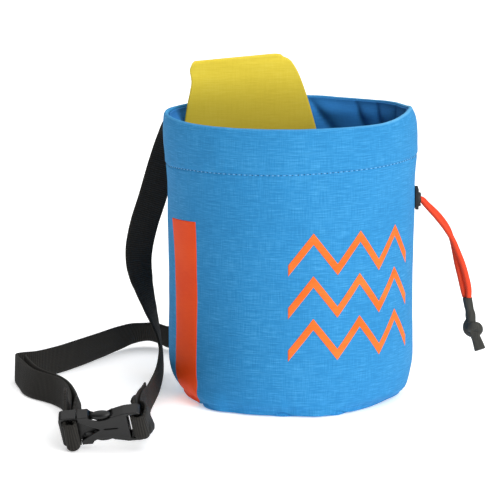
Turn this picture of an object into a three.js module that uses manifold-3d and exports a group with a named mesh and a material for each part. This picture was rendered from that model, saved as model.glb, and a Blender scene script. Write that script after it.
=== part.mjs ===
import * as THREE from 'three';
import { mergeVertices } from 'three/addons/utils/BufferGeometryUtils.js';
import Module from 'manifold-3d';

const wasm = await Module();
wasm.setup();

// All lengths in mm. Origin at the centre of the base, +Z up, the bag's front toward -Y.
const bagHeight = 155.6;
const bodyRadius = 66.8;
const rimRadius = 69.9;
const wallThickness = 1.6;
const hemThickness = 3.0;
const hemDepth = 24.5;
const hemTilt = 2.8;
const rimTilt = 1.1;
const rimTiltAngle = -45;
const layerGap = 0.35;
const seamLip = 1.1;
const baseThickness = 2.5;
const baseRound = 1.2;
const liningThickness = 0.9;
const liningTopDrop = 2.6;
const foldDepth = 2.3;
const foldWidth = 5.5;
const roundSides = 72;

const webbingWidth = 16;
const webbingThickness = 1.4;
const restGap = 0.1;
const loopWidth = 25;
const loopThickness = 1.5;
const loopBottom = 108;
const loopTop = 152;
const loopStandOff = 7.4;

const buckleWidth = 20.4;
const buckleThickness = 6.8;
const buckleWall = 0.95;
const ladderLength = 9.2;
const railWidth = 1.75;
const barThickness = 2.8;
const slotLength = 2.9;
const tailSlotLength = 2.4;
const endBar = 1.7;
const seamGap = 0.35;
const seamAt = 0.15;
const femaleLength = 32.5;
const femaleSlotBack = 7;
const notchDepth = 11.2;
const notchHalf = 7.2;
const slitStart = 13;
const slitLength = 7.5;
const slitWidth = 0.8;
const pressCentre = 12.3;
const pressLength = 12.2;
const pressDepth = 3.1;
const pressInset = 0.6;
const armLength = 15.4;
const armThickness = 3.2;
const prongLength = 9.8;
const prongThickness = 2.6;
const armStart = 2.2;
const buckleLean = 33;
const buckleRise = 6.4;
const buckleTurn = -3.5;
const buckleCentre = new THREE.Vector3(-109.9, -134.8, 12.2);

const tongueThickness = 0.9;
const tongueBottom = 100;
const tongueHeight = 80;
const tongueTopRise = 2.7;
const tongueFoot = 21;
const tongueLeftY = 14;
const tongueRightY = 30;
const tongueInset = 4;
const tongueFoldRadius = 1.7;
const tongueSpread = 3.4;

const guideHeight = 11.4;
const guideWidth = 12;
const guideThickness = 1.9;
const bossRadius = 4.2;
const bossHeight = 1.5;
const cordDiameter = 3;
const cordHeight = 108;
const sleeveRadius = 2.6;
const sleeveBottom = 38.9;

const rad = THREE.MathUtils.degToRad;

function paint(colour, roughness, metalness = 0) {
  return new THREE.MeshStandardMaterial({ color: colour, roughness, metalness });
}

function fromTriangles(positions, index) {
  const geometry = new THREE.BufferGeometry();
  geometry.setAttribute('position', new THREE.Float32BufferAttribute(positions, 3));
  geometry.setIndex(index);
  return geometry;
}

function welded(geometry) {
  geometry.deleteAttribute('normal');
  geometry.deleteAttribute('uv');
  return mergeVertices(geometry, 1e-3);
}

function toSolid(geometry) {
  const clean = welded(geometry);
  return new wasm.Manifold(new wasm.Mesh({
    numProp: 3,
    vertProperties: new Float32Array(clean.attributes.position.array),
    triVerts: new Uint32Array(clean.index.array),
  }));
}

function toGeometry(solid) {
  const mesh = solid.getMesh();
  return fromTriangles(Array.from(mesh.vertProperties), Array.from(mesh.triVerts));
}

// A closed section of [radius, height] corners turned about Z, with the corners free to vary by angle.
function turned(sectionAt) {
  const rows = sectionAt(0).length;
  const positions = [];
  const index = [];
  for (let side = 0; side < roundSides; side += 1) {
    const angle = (side / roundSides) * 2 * Math.PI;
    for (const [radius, height] of sectionAt(angle)) {
      positions.push(radius * Math.cos(angle), radius * Math.sin(angle), height);
    }
  }
  for (let side = 0; side < roundSides; side += 1) {
    const next = (side + 1) % roundSides;
    for (let row = 0; row < rows; row += 1) {
      const above = (row + 1) % rows;
      const a = side * rows + row;
      const b = next * rows + row;
      const c = next * rows + above;
      const d = side * rows + above;
      index.push(a, b, c, a, c, d);
    }
  }
  return fromTriangles(positions, index);
}

function rimHeight(angle) {
  return bagHeight + rimTilt * Math.cos(angle - rad(rimTiltAngle));
}

function hemHeight(angle) {
  return bagHeight - hemDepth + hemTilt * Math.cos(angle);
}

// Outer face of the wall below the hem: share of the hem height, share of the body radius.
const wallFace = [
  { rise: 0.0, reach: 0.906 },
  { rise: 0.018, reach: 0.944 },
  { rise: 0.045, reach: 0.971 },
  { rise: 0.075, reach: 0.985 },
  { rise: 0.11, reach: 0.993 },
  { rise: 0.17, reach: 1.0 },
  { rise: 0.4, reach: 1.0 },
  { rise: 0.66, reach: 0.998 },
  { rise: 0.82, reach: 1.008 },
  { rise: 0.97, reach: 1.019 },
];

// Outer face of the hem band: share of the height from the hem line to the rim, share of the rim radius.
const hemFace = [
  { rise: 0.03, reach: 0.985 },
  { rise: 0.4, reach: 0.989 },
  { rise: 0.74, reach: 0.992 },
  { rise: 0.93, reach: 0.999 },
  { rise: 0.985, reach: 0.99 },
  { rise: 1.0, reach: 0.978 },
];

const wallFoot = baseThickness + layerGap;

function wallSection(angle) {
  const hem = hemHeight(angle);
  const rim = rimHeight(angle);
  const outer = wallFace.map((row) => [
    row.reach * bodyRadius,
    wallFoot + row.rise * (hem - wallFoot),
  ]);
  const band = hemFace.map((row) => [row.reach * rimRadius, hem + row.rise * (rim - hem)]);
  const bandInside = [hemFace[4], hemFace[3], hemFace[1], hemFace[0]].map((row) => [
    row.reach * rimRadius - hemThickness,
    hem + row.rise * (rim - hem),
  ]);
  const inner = [8, 6, 5, 3, 1, 0].map((row) => [
    wallFace[row].reach * bodyRadius - wallThickness,
    wallFoot + wallFace[row].rise * (hem - wallFoot),
  ]);
  return [...outer, ...band, ...bandInside, ...inner];
}

// Soft upright folds of the lining at the rim: angle in degrees, share of the fold depth.
const liningFolds = [
  { at: 80, share: 1.0 },
  { at: 58, share: 0.8 },
  { at: 46, share: 0.9 },
  { at: 31, share: 0.7 },
  { at: 104, share: 0.5 },
  { at: 150, share: 0.7 },
  { at: 187, share: 0.5 },
  { at: 228, share: 0.6 },
  { at: 275, share: 0.5 },
  { at: 318, share: 0.6 },
  { at: 352, share: 0.5 },
];

function foldIn(angle, rise) {
  let depth = 0;
  for (const fold of liningFolds) {
    const centre = fold.at - 14 * (1 - rise);
    const away = ((THREE.MathUtils.radToDeg(angle) - centre + 540) % 360) - 180;
    depth += fold.share * Math.exp(-((away / foldWidth) ** 2));
  }
  return foldDepth * Math.min(1, depth) * Math.min(1, rise * 1.6);
}

// Lining rows: share of its height, share of the body radius.
const liningFace = [
  { rise: 0.0, reach: 0.875 },
  { rise: 0.03, reach: 0.915 },
  { rise: 0.09, reach: 0.945 },
  { rise: 0.25, reach: 0.963 },
  { rise: 0.55, reach: 0.962 },
  { rise: 0.8, reach: 0.968 },
  { rise: 0.92, reach: 0.968 },
  { rise: 1.0, reach: 0.972 },
];

function liningSection(angle) {
  const top = rimHeight(angle) - liningTopDrop;
  const rows = liningFace.map((row) => [
    row.reach * bodyRadius - foldIn(angle, row.rise),
    wallFoot + row.rise * (top - wallFoot),
  ]);
  const inside = rows.map(([radius, height]) => [radius - liningThickness, height]).reverse();
  return [...rows, ...inside];
}

// Base disc with its sewn rim: share of the rounded corner out, share of the thickness.
const baseEdge = [
  { out: 0.0, up: 0.0 },
  { out: 0.75, up: 0.16 },
  { out: 1.0, up: 0.5 },
  { out: 0.75, up: 0.84 },
  { out: 0.0, up: 1.0 },
];

function basePanel() {
  const baseRadius = wallFace[0].reach * bodyRadius + seamLip;
  const profile = [new THREE.Vector2(0, 0)];
  for (const row of baseEdge) {
    const radius = baseRadius - baseRound + row.out * baseRound;
    profile.push(new THREE.Vector2(radius, row.up * baseThickness));
  }
  profile.push(new THREE.Vector2(0, baseThickness));
  return new THREE.LatheGeometry(profile, roundSides).rotateX(Math.PI / 2);
}

function station([x, y, z, leanX, leanY, leanZ]) {
  return {
    at: new THREE.Vector3(x, y, z),
    across: new THREE.Vector3(leanX, leanY, leanZ).normalize(),
  };
}

// A flat strip of woven webbing that follows its stations, lifted where it would dip under the surface.
function webbing(stations, step, width, thickness) {
  const line = new THREE.CatmullRomCurve3(stations.map((s) => s.at), false, 'centripetal');
  const turn = new THREE.CatmullRomCurve3(stations.map((s) => s.across), false, 'catmullrom', 0.3);
  const count = Math.round(line.getLength() / step);
  const positions = [];
  const index = [];
  for (let i = 0; i <= count; i += 1) {
    const share = line.getUtoTmapping(i / count);
    const centre = line.getPoint(share);
    const along = line.getTangent(share);
    const across = turn.getPoint(share);
    across.addScaledVector(along, -across.dot(along)).normalize();
    const face = new THREE.Vector3().crossVectors(along, across);
    const reachDown = (Math.abs(across.z) * width + Math.abs(face.z) * thickness) / 2;
    centre.z = Math.max(centre.z, reachDown + restGap);
    for (const [w, f] of [[-1, -1], [1, -1], [1, 1], [-1, 1]]) {
      const corner = centre.clone();
      corner.addScaledVector(across, (w * width) / 2);
      corner.addScaledVector(face, (f * thickness) / 2);
      positions.push(corner.x, corner.y, corner.z);
    }
  }
  for (let i = 0; i < count; i += 1) {
    for (let k = 0; k < 4; k += 1) {
      const a = i * 4 + k;
      const b = i * 4 + ((k + 1) % 4);
      index.push(a, b, b + 4, a, b + 4, a + 4);
    }
  }
  const end = count * 4;
  index.push(0, 2, 1, 0, 3, 2, end, end + 1, end + 2, end, end + 2, end + 3);
  return fromTriangles(positions, index);
}

// The buckle's own axes: along it, across it and out of its front face.
const along = new THREE.Vector3(1, 0, 0);
const acrossBuckle = new THREE.Vector3(0, 0, 1);
along.applyAxisAngle(new THREE.Vector3(0, 0, 1), rad(buckleTurn));
along.applyAxisAngle(new THREE.Vector3(0, 1, 0), rad(-buckleRise));
acrossBuckle.applyAxisAngle(new THREE.Vector3(1, 0, 0), rad(buckleLean));
acrossBuckle.addScaledVector(along, -acrossBuckle.dot(along)).normalize();
const outward = new THREE.Vector3().crossVectors(along, acrossBuckle);
const buckleFrame = new THREE.Matrix4().makeBasis(along, acrossBuckle, outward);
buckleFrame.setPosition(buckleCentre);

// A webbing station in the buckle's own axes; tip turns its width from the buckle's own toward upright.
function onBuckle(u, n, tip) {
  const at = new THREE.Vector3(u, 0, n).applyMatrix4(buckleFrame);
  const across = acrossBuckle.clone().lerp(new THREE.Vector3(0, 0, 1), tip).normalize();
  return { at, across };
}

const loopHeight = (loopBottom + loopTop) / 2;
const beltBack = rimRadius + loopStandOff - loopThickness - layerGap - webbingThickness / 2 - 1.2;

// Adjustable half: x, y, z of the centre line, then the direction of its width.
const mainRun = [
  [0.2, beltBack, loopHeight, 0, 0, 1],
  [13, beltBack, loopHeight, 0, 0.1, 1],
  [26, 77.5, 131.5, 0, 0.6, 0.8],
  [38, 81, 128, 0.3, 0.95, 0.2],
  [45, 84, 115, 0.05, 1, 0],
  [47, 87, 90, 0, 1, 0],
  [47, 89, 60, 0, 1, 0],
  [45, 91, 34, 0, 1, 0],
  [38, 92, 14, 0, 1, 0],
  [24, 93, 3.6, 0, 1, 0],
  [8, 94, 3.8, 0, 0.95, 0.3],
  [-12, 95, 7.6, 0, 0.45, 0.9],
  [-35, 94.5, 8.5, 0, -0.2, 0.98],
  [-55, 96.5, 8.6, 0, -0.38, 0.92],
  [-70.5, 102.6, 8.6, 0, -0.48, 0.88],
  [-76.7, 108, 9.5, 0, -0.56, 0.83],
  [-83, 111, 10, 0, -0.61, 0.79],
  [-90.4, 109.6, 9.4, 0, -0.55, 0.83],
  [-99.9, 99.8, 8.4, 0, -0.36, 0.93],
  [-110.1, 81.5, 8.1, 0, -0.21, 0.98],
  [-122, 59.2, 8.2, -0.04, -0.05, 1],
  [-132.5, 42, 8.2, -0.03, 0, 1],
  [-143.5, 29.5, 8.2, 0, 0, 1],
  [-150.2, 26.6, 8.2, 0, 0, 1],
  [-153.8, 23.6, 8.2, 0.02, 0, 1],
  [-153.2, 17.5, 8.2, 0.06, 0, 0.99],
  [-149.8, 5, 8.1, 0.14, -0.05, 0.98],
  [-145.8, -9.2, 8.1, 0.22, 0, 0.97],
  [-141.4, -18.5, 8.1, 0.19, 0, 0.98],
  [-135.1, -26.3, 8.1, 0.16, -0.08, 0.98],
  [-128.8, -34.2, 8.1, 0.17, -0.12, 0.98],
  [-123.3, -46, 8, 0.13, -0.25, 0.95],
  [-119.4, -65.6, 8, 0.1, -0.28, 0.95],
  [-117.6, -85.5, 8.3, 0.08, -0.28, 0.95],
  [-117, -104, 9.1, 0.02, -0.3, 0.95],
];

// The same half round the ladder bar: u along the buckle, n out of its face, tip of its width.
const ladderWrap = [
  { u: -6.6, n: -18, tip: 0.3 },
  { u: -6.1, n: -8, tip: 0.1 },
  { u: -6.0, n: -2.5, tip: 0 },
  { u: -6.0, n: 1.4, tip: 0 },
  { u: -6.5, n: 4.6, tip: 0.1 },
  { u: -5.4, n: 6.5, tip: 0.3 },
  { u: -3.5, n: 7.0, tip: 0.42 },
  { u: -1.5, n: 6.4, tip: 0.3 },
  { u: -0.6, n: 4.4, tip: 0.1 },
  { u: -1.7, n: 1.8, tip: 0 },
  { u: -1.8, n: -2, tip: 0 },
  { u: -1.5, n: -6, tip: 0 },
  { u: -0.9, n: -11, tip: 0.15 },
];

// And its free tail, back beside the front run to the cut end.
const tailRun = [
  [-110.9, -104, 9, 0.02, -0.3, 0.95],
  [-113.9, -81.4, 8.1, 0.05, -0.2, 0.98],
  [-116.7, -64.4, 8.1, 0.06, -0.15, 0.98],
  [-119.9, -50.2, 8.1, 0.08, -0.12, 0.98],
  [-123.6, -39.5, 8.1, 0.12, -0.1, 0.98],
  [-128.6, -29.6, 8.1, 0.14, -0.06, 0.98],
  [-133.6, -22.9, 8.1, 0.16, -0.04, 0.98],
  [-138.2, -15.6, 8.1, 0.17, 0, 0.98],
  [-141.9, -7.6, 8.1, 0.18, 0, 0.98],
  [-145, 2.5, 8.1, 0.14, 0, 0.98],
  [-147.4, 12.7, 8.1, 0.08, 0, 0.99],
  [-148.8, 20.3, 8.1, 0.04, 0, 1],
];

// Fixed half, from the loop over the bag's left shoulder down to the surface.
const fixedRun = [
  [-0.2, beltBack, loopHeight, 0, 0, 1],
  [-13, beltBack, loopHeight, 0, 0.1, 1],
  [-27, 78, 132.5, -0.05, 0.5, 0.85],
  [-42, 77, 138, -0.15, 0.85, 0.45],
  [-55, 69.5, 143, -0.5, 0.8, 0.3],
  [-63, 60.5, 142.6, -0.85, 0.35, 0.25],
  [-67.3, 54.5, 133.6, -0.95, 0.05, 0.3],
  [-72.1, 52.2, 119.9, -0.94, -0.08, 0.33],
  [-78, 51, 99.8, -0.97, -0.04, 0.25],
  [-82.3, 49.8, 86.5, -0.97, -0.1, 0.21],
  [-85.2, 48.2, 73.3, -0.95, -0.23, 0.2],
  [-85.6, 46.8, 64.1, -0.89, -0.42, 0.1],
  [-84.3, 46.2, 55.8, -0.79, -0.6, 0.08],
  [-82.4, 45.8, 48.5, -0.61, -0.78, 0.08],
  [-79.4, 45.7, 38.5, -0.4, -0.92, 0.05],
  [-77, 45.8, 30.7, -0.24, -0.96, 0.14],
  [-74.9, 45.8, 22.7, -0.14, -0.92, 0.38],
  [-73.6, 44.8, 16, -0.12, -0.73, 0.67],
  [-73.1, 42.2, 12, -0.1, -0.5, 0.86],
  [-72.9, 37.4, 9.4, -0.09, -0.25, 0.96],
  [-72.9, 27.5, 8.2, -0.07, -0.08, 0.99],
  [-73.4, -4.4, 8.2, -0.03, -0.05, 1],
  [-74.6, -24.8, 8.1, -0.01, -0.17, 0.99],
  [-76.8, -53.2, 8.2, -0.03, -0.2, 0.98],
  [-77.3, -76.6, 10, -0.24, -0.2, 0.94],
  [-76.2, -99.6, 12, -0.4, -0.2, 0.88],
  [-75.4, -115.5, 14.4, -0.34, -0.34, 0.87],
  [-74.6, -127.5, 16.1, -0.2, -0.44, 0.86],
];

const femaleWrap = [
  { u: 35.4, n: 0.2, tip: 0.1 },
  { u: 34.2, n: 3.9, tip: 0.1 },
  { u: 31.6, n: 4.7, tip: 0 },
  { u: 29.2, n: 3.7, tip: 0 },
  { u: 28.1, n: 1.8, tip: 0 },
  { u: 27.8, n: -1.2, tip: 0 },
  { u: 28.3, n: -4.0, tip: 0 },
  { u: 29.6, n: -8.0, tip: 0.1 },
];

const sewnTab = [
  [-80.4, -116, 14.2, -0.32, -0.34, 0.88],
  [-80, -104.6, 12.9, -0.36, -0.28, 0.88],
  [-79.4, -90, 11.4, -0.34, -0.22, 0.92],
  [-79.4, -76.6, 10.2, -0.26, -0.2, 0.94],
  [-79.1, -62, 9, -0.12, -0.2, 0.97],
  [-78.9, -49.4, 8.2, -0.03, -0.2, 0.98],
];

const beltMain = [
  ...mainRun.map(station),
  ...ladderWrap.map((row) => onBuckle(row.u, row.n, row.tip)),
  ...tailRun.map(station),
];
const beltFixed = [
  ...fixedRun.map(station),
  ...femaleWrap.map((row) => onBuckle(row.u, row.n, row.tip)),
  ...sewnTab.map(station),
];

// The flat loop sewn to the bag's back that carries the belt: share of its height, share of the stand-off.
const loopShape = [
  { rise: 0.0, out: 0.0 },
  { rise: 0.2, out: 0.02 },
  { rise: 0.27, out: 0.6 },
  { rise: 0.34, out: 0.96 },
  { rise: 0.5, out: 1.0 },
  { rise: 0.66, out: 0.96 },
  { rise: 0.73, out: 0.6 },
  { rise: 0.8, out: 0.02 },
  { rise: 1.0, out: 0.0 },
];

const loopFoot = rimRadius + layerGap + loopThickness / 2;
const beltLoop = loopShape.map((row) => station([
  0,
  loopFoot + row.out * (loopStandOff - loopThickness),
  loopBottom + row.rise * (loopTop - loopBottom),
  1,
  0,
  0,
]));

function slab(outline, low, high) {
  const shape = new THREE.Shape(outline.map(([u, v]) => new THREE.Vector2(u, v)));
  const geometry = new THREE.ExtrudeGeometry(shape, { depth: high - low, bevelEnabled: false });
  return toSolid(geometry.translate(0, 0, low));
}

function box(u0, u1, v0, v1, n0, n1) {
  return slab([[u0, v0], [u1, v0], [u1, v1], [u0, v1]], n0, n1);
}

function mirrored(half) {
  return [...half.map(([u, v]) => [u, -v]), ...half.map(([u, v]) => [u, v]).reverse()];
}

function oval(centreU, centreV, halfU, halfV, low, high) {
  const rim = [];
  for (let k = 0; k < 20; k += 1) {
    const turn = (k / 20) * 2 * Math.PI;
    rim.push([centreU + halfU * Math.cos(turn), centreV + halfV * Math.sin(turn)]);
  }
  return slab(rim, low, high);
}

const halfWidth = buckleWidth / 2;
const halfThick = buckleThickness / 2;
const slotHalf = halfWidth - railWidth;
const ladderBar = 1.6;

// Guide prong of the male half: share of its length, share of the buckle's half width.
const prongShape = [
  { along: 0.0, half: 0.353 },
  { along: 0.694, half: 0.255 },
  { along: 1.0, half: 0.137 },
];

// Spring arm of the male half, round its outline: share of its length, share of the buckle's half width.
const armShape = [
  { along: 0.0, half: 0.51 },
  { along: 0.0, half: 0.745 },
  { along: 0.286, half: 0.725 },
  { along: 0.442, half: 0.843 },
  { along: 0.864, half: 0.843 },
  { along: 1.0, half: 0.706 },
  { along: 1.0, half: 0.608 },
  { along: 0.636, half: 0.647 },
  { along: 0.286, half: 0.588 },
];

function maleBuckle() {
  const far = -ladderLength;
  const firstSlot = far + endBar;
  const secondSlot = firstSlot + slotLength + ladderBar;
  const frame = slab(mirrored([
    [far, halfWidth - 2],
    [far + 0.6, halfWidth - 0.6],
    [far + 2, halfWidth],
    [seamAt, halfWidth],
    [seamAt, slotHalf - 0.7],
    [armStart + 0.4, slotHalf - 0.7],
  ]), -halfThick + 0.2, halfThick - 0.2);
  const cuts = [
    box(firstSlot, firstSlot + slotLength, -slotHalf, slotHalf, -halfThick, halfThick),
    box(secondSlot, secondSlot + tailSlotLength, -slotHalf, slotHalf, -halfThick, halfThick),
    box(firstSlot, armStart + 1.8, -slotHalf, slotHalf, barThickness / 2, halfThick),
    box(firstSlot, armStart + 1.8, -slotHalf, slotHalf, -halfThick, -barThickness / 2),
  ];
  let solid = frame;
  for (const cut of cuts) {
    solid = solid.subtract(cut);
  }
  const prong = mirrored(prongShape.map((row) => [
    armStart + row.along * prongLength,
    row.half * halfWidth,
  ]));
  solid = solid.add(slab(prong, -prongThickness / 2, prongThickness / 2));
  for (const side of [-1, 1]) {
    const arm = armShape.map((row) => [
      armStart + row.along * armLength,
      side * row.half * halfWidth,
    ]);
    solid = solid.add(slab(arm, -armThickness / 2, armThickness / 2));
  }
  return toGeometry(solid).applyMatrix4(buckleFrame);
}

// Half outline of the female body: share of its length, share of the buckle's half width.
const femaleOutline = [
  { along: 0.0, half: 0.955 },
  { along: 0.243, half: 0.965 },
  { along: 0.311, half: 0.86 },
  { along: 0.369, half: 0.82 },
  { along: 0.554, half: 0.81 },
  { along: 0.646, half: 0.9 },
  { along: 0.738, half: 0.985 },
  { along: 0.951, half: 1.0 },
  { along: 1.0, half: 0.9 },
];

function femaleBuckle() {
  const mouth = seamAt + seamGap;
  const outline = mirrored(femaleOutline.map((row) => [
    mouth + row.along * femaleLength,
    row.half * halfWidth,
  ]));
  let solid = slab(outline, -halfThick, halfThick);
  const inside = halfThick - buckleWall;
  const below = -halfThick - 1;
  const above = halfThick + 1;
  const farEnd = mouth + femaleLength + 1;
  const slotAt = mouth + femaleLength - femaleSlotBack;
  const pocketEnd = armStart + armLength + 4;
  const notch = [[-1, -notchHalf], [0, -notchHalf], [notchDepth, 0], [0, notchHalf], [-1, notchHalf]];
  const pressAt = halfWidth - pressInset;
  const cuts = [
    box(-1, pocketEnd, -slotHalf + 0.3, slotHalf - 0.3, -inside, inside),
    slab(notch, below, above),
    box(slitStart, slitStart + slitLength, -slitWidth / 2, slitWidth / 2, inside - 0.1, above),
    box(slotAt, slotAt + slotLength + 0.3, -slotHalf, slotHalf, below, above),
    box(slotAt, farEnd, -slotHalf, slotHalf, barThickness / 2, above),
    box(slotAt, farEnd, -slotHalf, slotHalf, below, -barThickness / 2),
    oval(pressCentre, pressAt, pressLength / 2, pressDepth, below, above),
    oval(pressCentre, -pressAt, pressLength / 2, pressDepth, below, above),
  ];
  for (const cut of cuts) {
    solid = solid.subtract(cut);
  }
  return toGeometry(solid).applyMatrix4(buckleFrame);
}

// The tongue's left edge lies against the lining, which carries it.
const liningInside = liningFace[6].reach * bodyRadius - liningThickness - layerGap;
const tongueReach = Math.sqrt(liningInside ** 2 - (tongueLeftY + tongueThickness) ** 2);

// Rows of the folded tongue: share of its height, left edge as a share of its reach, right of its foot.
const tongueRows = [
  { rise: 0.0, left: -0.996, right: 1.0 },
  { rise: 0.172, left: -0.999, right: 0.924 },
  { rise: 0.344, left: -1.0, right: 0.819 },
  { rise: 0.479, left: -0.967, right: 0.714 },
  { rise: 0.598, left: -0.951, right: 0.59 },
  { rise: 0.713, left: -0.925, right: 0.457 },
  { rise: 0.811, left: -0.899, right: 0.329 },
  { rise: 0.897, left: -0.884, right: 0.19 },
  { rise: 0.971, left: -0.891, right: 0.048 },
];
const tongueTop = { left: -0.9, right: -0.19 };
const tongueColumns = 8;

// Both layers hang from the top fold and spread apart below it.
function tonguePoint(share, row, back) {
  const left = row.left * tongueReach;
  const x = left + share * (row.right * tongueFoot - left);
  const y = tongueLeftY + share * (tongueRightY - tongueLeftY);
  const drop = Math.min(1, (1 - row.rise) * 2);
  const apart = 2 * tongueFoldRadius + tongueSpread * drop * (0.3 + 0.7 * share);
  const inset = back ? tongueInset * (1 - share) : 0;
  return new THREE.Vector3(x + inset, y + (back ? apart : 0), tongueBottom + row.rise * tongueHeight);
}

function tongue() {
  const grid = [];
  for (let c = 0; c < tongueColumns; c += 1) {
    const share = c / (tongueColumns - 1);
    const front = tongueRows.map((row) => tonguePoint(share, row, false));
    const rear = tongueRows.map((row) => tonguePoint(share, row, true)).reverse();
    const left = tongueTop.left * tongueReach;
    const x = left + share * (tongueTop.right * tongueFoot - left);
    const y = tongueLeftY + share * (tongueRightY - tongueLeftY);
    const z = tongueBottom + tongueHeight + share * tongueTopRise;
    const fold = [0, 0.25, 0.5, 0.75, 1].map((k) => new THREE.Vector3(
      x + k * tongueInset * (1 - share),
      y + tongueFoldRadius * (1 - Math.cos(k * Math.PI)),
      z + tongueFoldRadius * Math.sin(k * Math.PI),
    ));
    grid.push([...front, ...fold, ...rear]);
  }
  return sheet(grid, tongueThickness);
}

// A closed cloth sheet of even thickness about a grid of points.
function sheet(grid, thickness) {
  const columns = grid.length;
  const rows = grid[0].length;
  const positions = [];
  const index = [];
  for (const side of [-0.5, 0.5]) {
    for (let c = 0; c < columns; c += 1) {
      for (let r = 0; r < rows; r += 1) {
        const acrossCloth = new THREE.Vector3().subVectors(
          grid[Math.min(c + 1, columns - 1)][r],
          grid[Math.max(c - 1, 0)][r],
        );
        const alongCloth = new THREE.Vector3().subVectors(
          grid[c][Math.min(r + 1, rows - 1)],
          grid[c][Math.max(r - 1, 0)],
        );
        const normal = new THREE.Vector3().crossVectors(acrossCloth, alongCloth).normalize();
        const point = grid[c][r].clone().addScaledVector(normal, side * thickness);
        positions.push(point.x, point.y, point.z);
      }
    }
  }
  const at = (side, c, r) => side * columns * rows + c * rows + r;
  const quad = (a, b, c, d) => index.push(a, b, c, a, c, d);
  for (let c = 0; c < columns - 1; c += 1) {
    for (let r = 0; r < rows - 1; r += 1) {
      quad(at(1, c, r), at(1, c + 1, r), at(1, c + 1, r + 1), at(1, c, r + 1));
      quad(at(0, c, r), at(0, c, r + 1), at(0, c + 1, r + 1), at(0, c + 1, r));
    }
  }
  for (let c = 0; c < columns - 1; c += 1) {
    const last = rows - 1;
    quad(at(0, c, 0), at(0, c + 1, 0), at(1, c + 1, 0), at(1, c, 0));
    quad(at(1, c, last), at(1, c + 1, last), at(0, c + 1, last), at(0, c, last));
  }
  for (let r = 0; r < rows - 1; r += 1) {
    const last = columns - 1;
    quad(at(1, 0, r), at(1, 0, r + 1), at(0, 0, r + 1), at(0, 0, r));
    quad(at(0, last, r), at(0, last, r + 1), at(1, last, r + 1), at(1, last, r));
  }
  return fromTriangles(positions, index);
}

const guideFace = bodyRadius * 1.011 + layerGap;

function cordGuide() {
  const plate = new THREE.BoxGeometry(guideThickness, guideWidth, guideHeight);
  plate.translate(guideFace + guideThickness / 2, -0.9, cordHeight + 0.9);
  const boss = new THREE.CylinderGeometry(bossRadius - 0.5, bossRadius, bossHeight + 0.2, 20);
  boss.rotateZ(-Math.PI / 2);
  boss.translate(guideFace + guideThickness + bossHeight / 2 - 0.1, -0.9, cordHeight);
  const reach = guideFace + guideThickness + bossHeight;
  const eye = new THREE.BoxGeometry(2.4, 3.1 + cordDiameter + 0.7, cordDiameter + 1.3);
  eye.translate(reach - 0.6, -0.9, cordHeight - 0.3);
  return toGeometry(toSolid(plate).add(toSolid(boss)).subtract(toSolid(eye)));
}

// Centre lines of the two cords, chosen by eye: x, y, z.
const cordLines = {
  drawcord_a: [
    [70.4, -2.45, 108], [71.9, -2.45, 107.5], [74.4, -2.5, 104.7], [79.6, -2.5, 98.9],
    [84.9, -2.5, 92.2], [89, -2.45, 85.6], [91.9, -2.4, 78.8], [94.5, -2.4, 72.1],
    [96.5, -2.35, 65.4], [98, -2.3, 58.7], [98.2, -2.3, 53.5],
  ],
  drawcord_b: [
    [70.4, 0.65, 108], [72, 0.65, 107.8], [74.8, 0.65, 105.1], [81.6, 0.65, 98.4],
    [86.3, 0.75, 91.7], [88.7, 0.75, 85], [90.1, 0.7, 78.3], [91.2, 0.65, 71.6],
    [92.7, 0.55, 64.8], [94.7, 0.45, 58.1], [96.3, 0.4, 53.4],
  ],
};

function rounded(points, radius, sides, steps) {
  const curve = new THREE.CatmullRomCurve3(points.map((p) => new THREE.Vector3(...p)));
  const ring = [];
  for (let k = 0; k < sides; k += 1) {
    const turn = (k / sides) * 2 * Math.PI;
    ring.push(new THREE.Vector2(radius * Math.cos(turn), radius * Math.sin(turn)));
  }
  return new THREE.ExtrudeGeometry(new THREE.Shape(ring), { steps, extrudePath: curve });
}

const sleeveLine = [
  [97.5, -1, 52.9],
  [98.4, -1, 48.5],
  [99.3, -1, 43.5],
  [99.4, -1, sleeveBottom],
];

// Lobes of the knotted end: centre, then half sizes.
const knotLobes = [
  { x: 98.4, y: -1.2, z: 34.9, a: 2.5, b: 3.0, c: 3.4 },
  { x: 102.7, y: -1.0, z: 34.2, a: 3.5, b: 3.4, c: 4.1 },
  { x: 100.4, y: -2.2, z: 33.8, a: 3.2, b: 2.6, c: 3.6 },
];

function pullKnot() {
  let solid = null;
  for (const lobe of knotLobes) {
    const ball = new THREE.SphereGeometry(1, 10, 8);
    ball.scale(lobe.a, lobe.b, lobe.c).translate(lobe.x, lobe.y, lobe.z);
    solid = solid ? solid.add(toSolid(ball)) : toSolid(ball);
  }
  const tail = new THREE.Shape([
    new THREE.Vector2(100.4, 33),
    new THREE.Vector2(101.2, 26.6),
    new THREE.Vector2(102.7, 21.9),
    new THREE.Vector2(105, 24.4),
    new THREE.Vector2(107.3, 26),
    new THREE.Vector2(106.4, 30),
    new THREE.Vector2(104.6, 34),
  ]);
  const flap = new THREE.ExtrudeGeometry(tail, { depth: 3.4, bevelEnabled: false });
  flap.rotateX(Math.PI / 2).translate(0, 0.7, 0);
  return toGeometry(solid.add(toSolid(flap)));
}

const blueCloth = '#3a8ed8';
const darkBlue = '#245f9f';
const yellowCloth = '#cdbb35';
const blackWeb = '#1c1c1b';
const blackPlastic = '#3a3a3a';
const orangeCord = '#f4542f';
const greyRubber = '#3d3d38';

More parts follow.
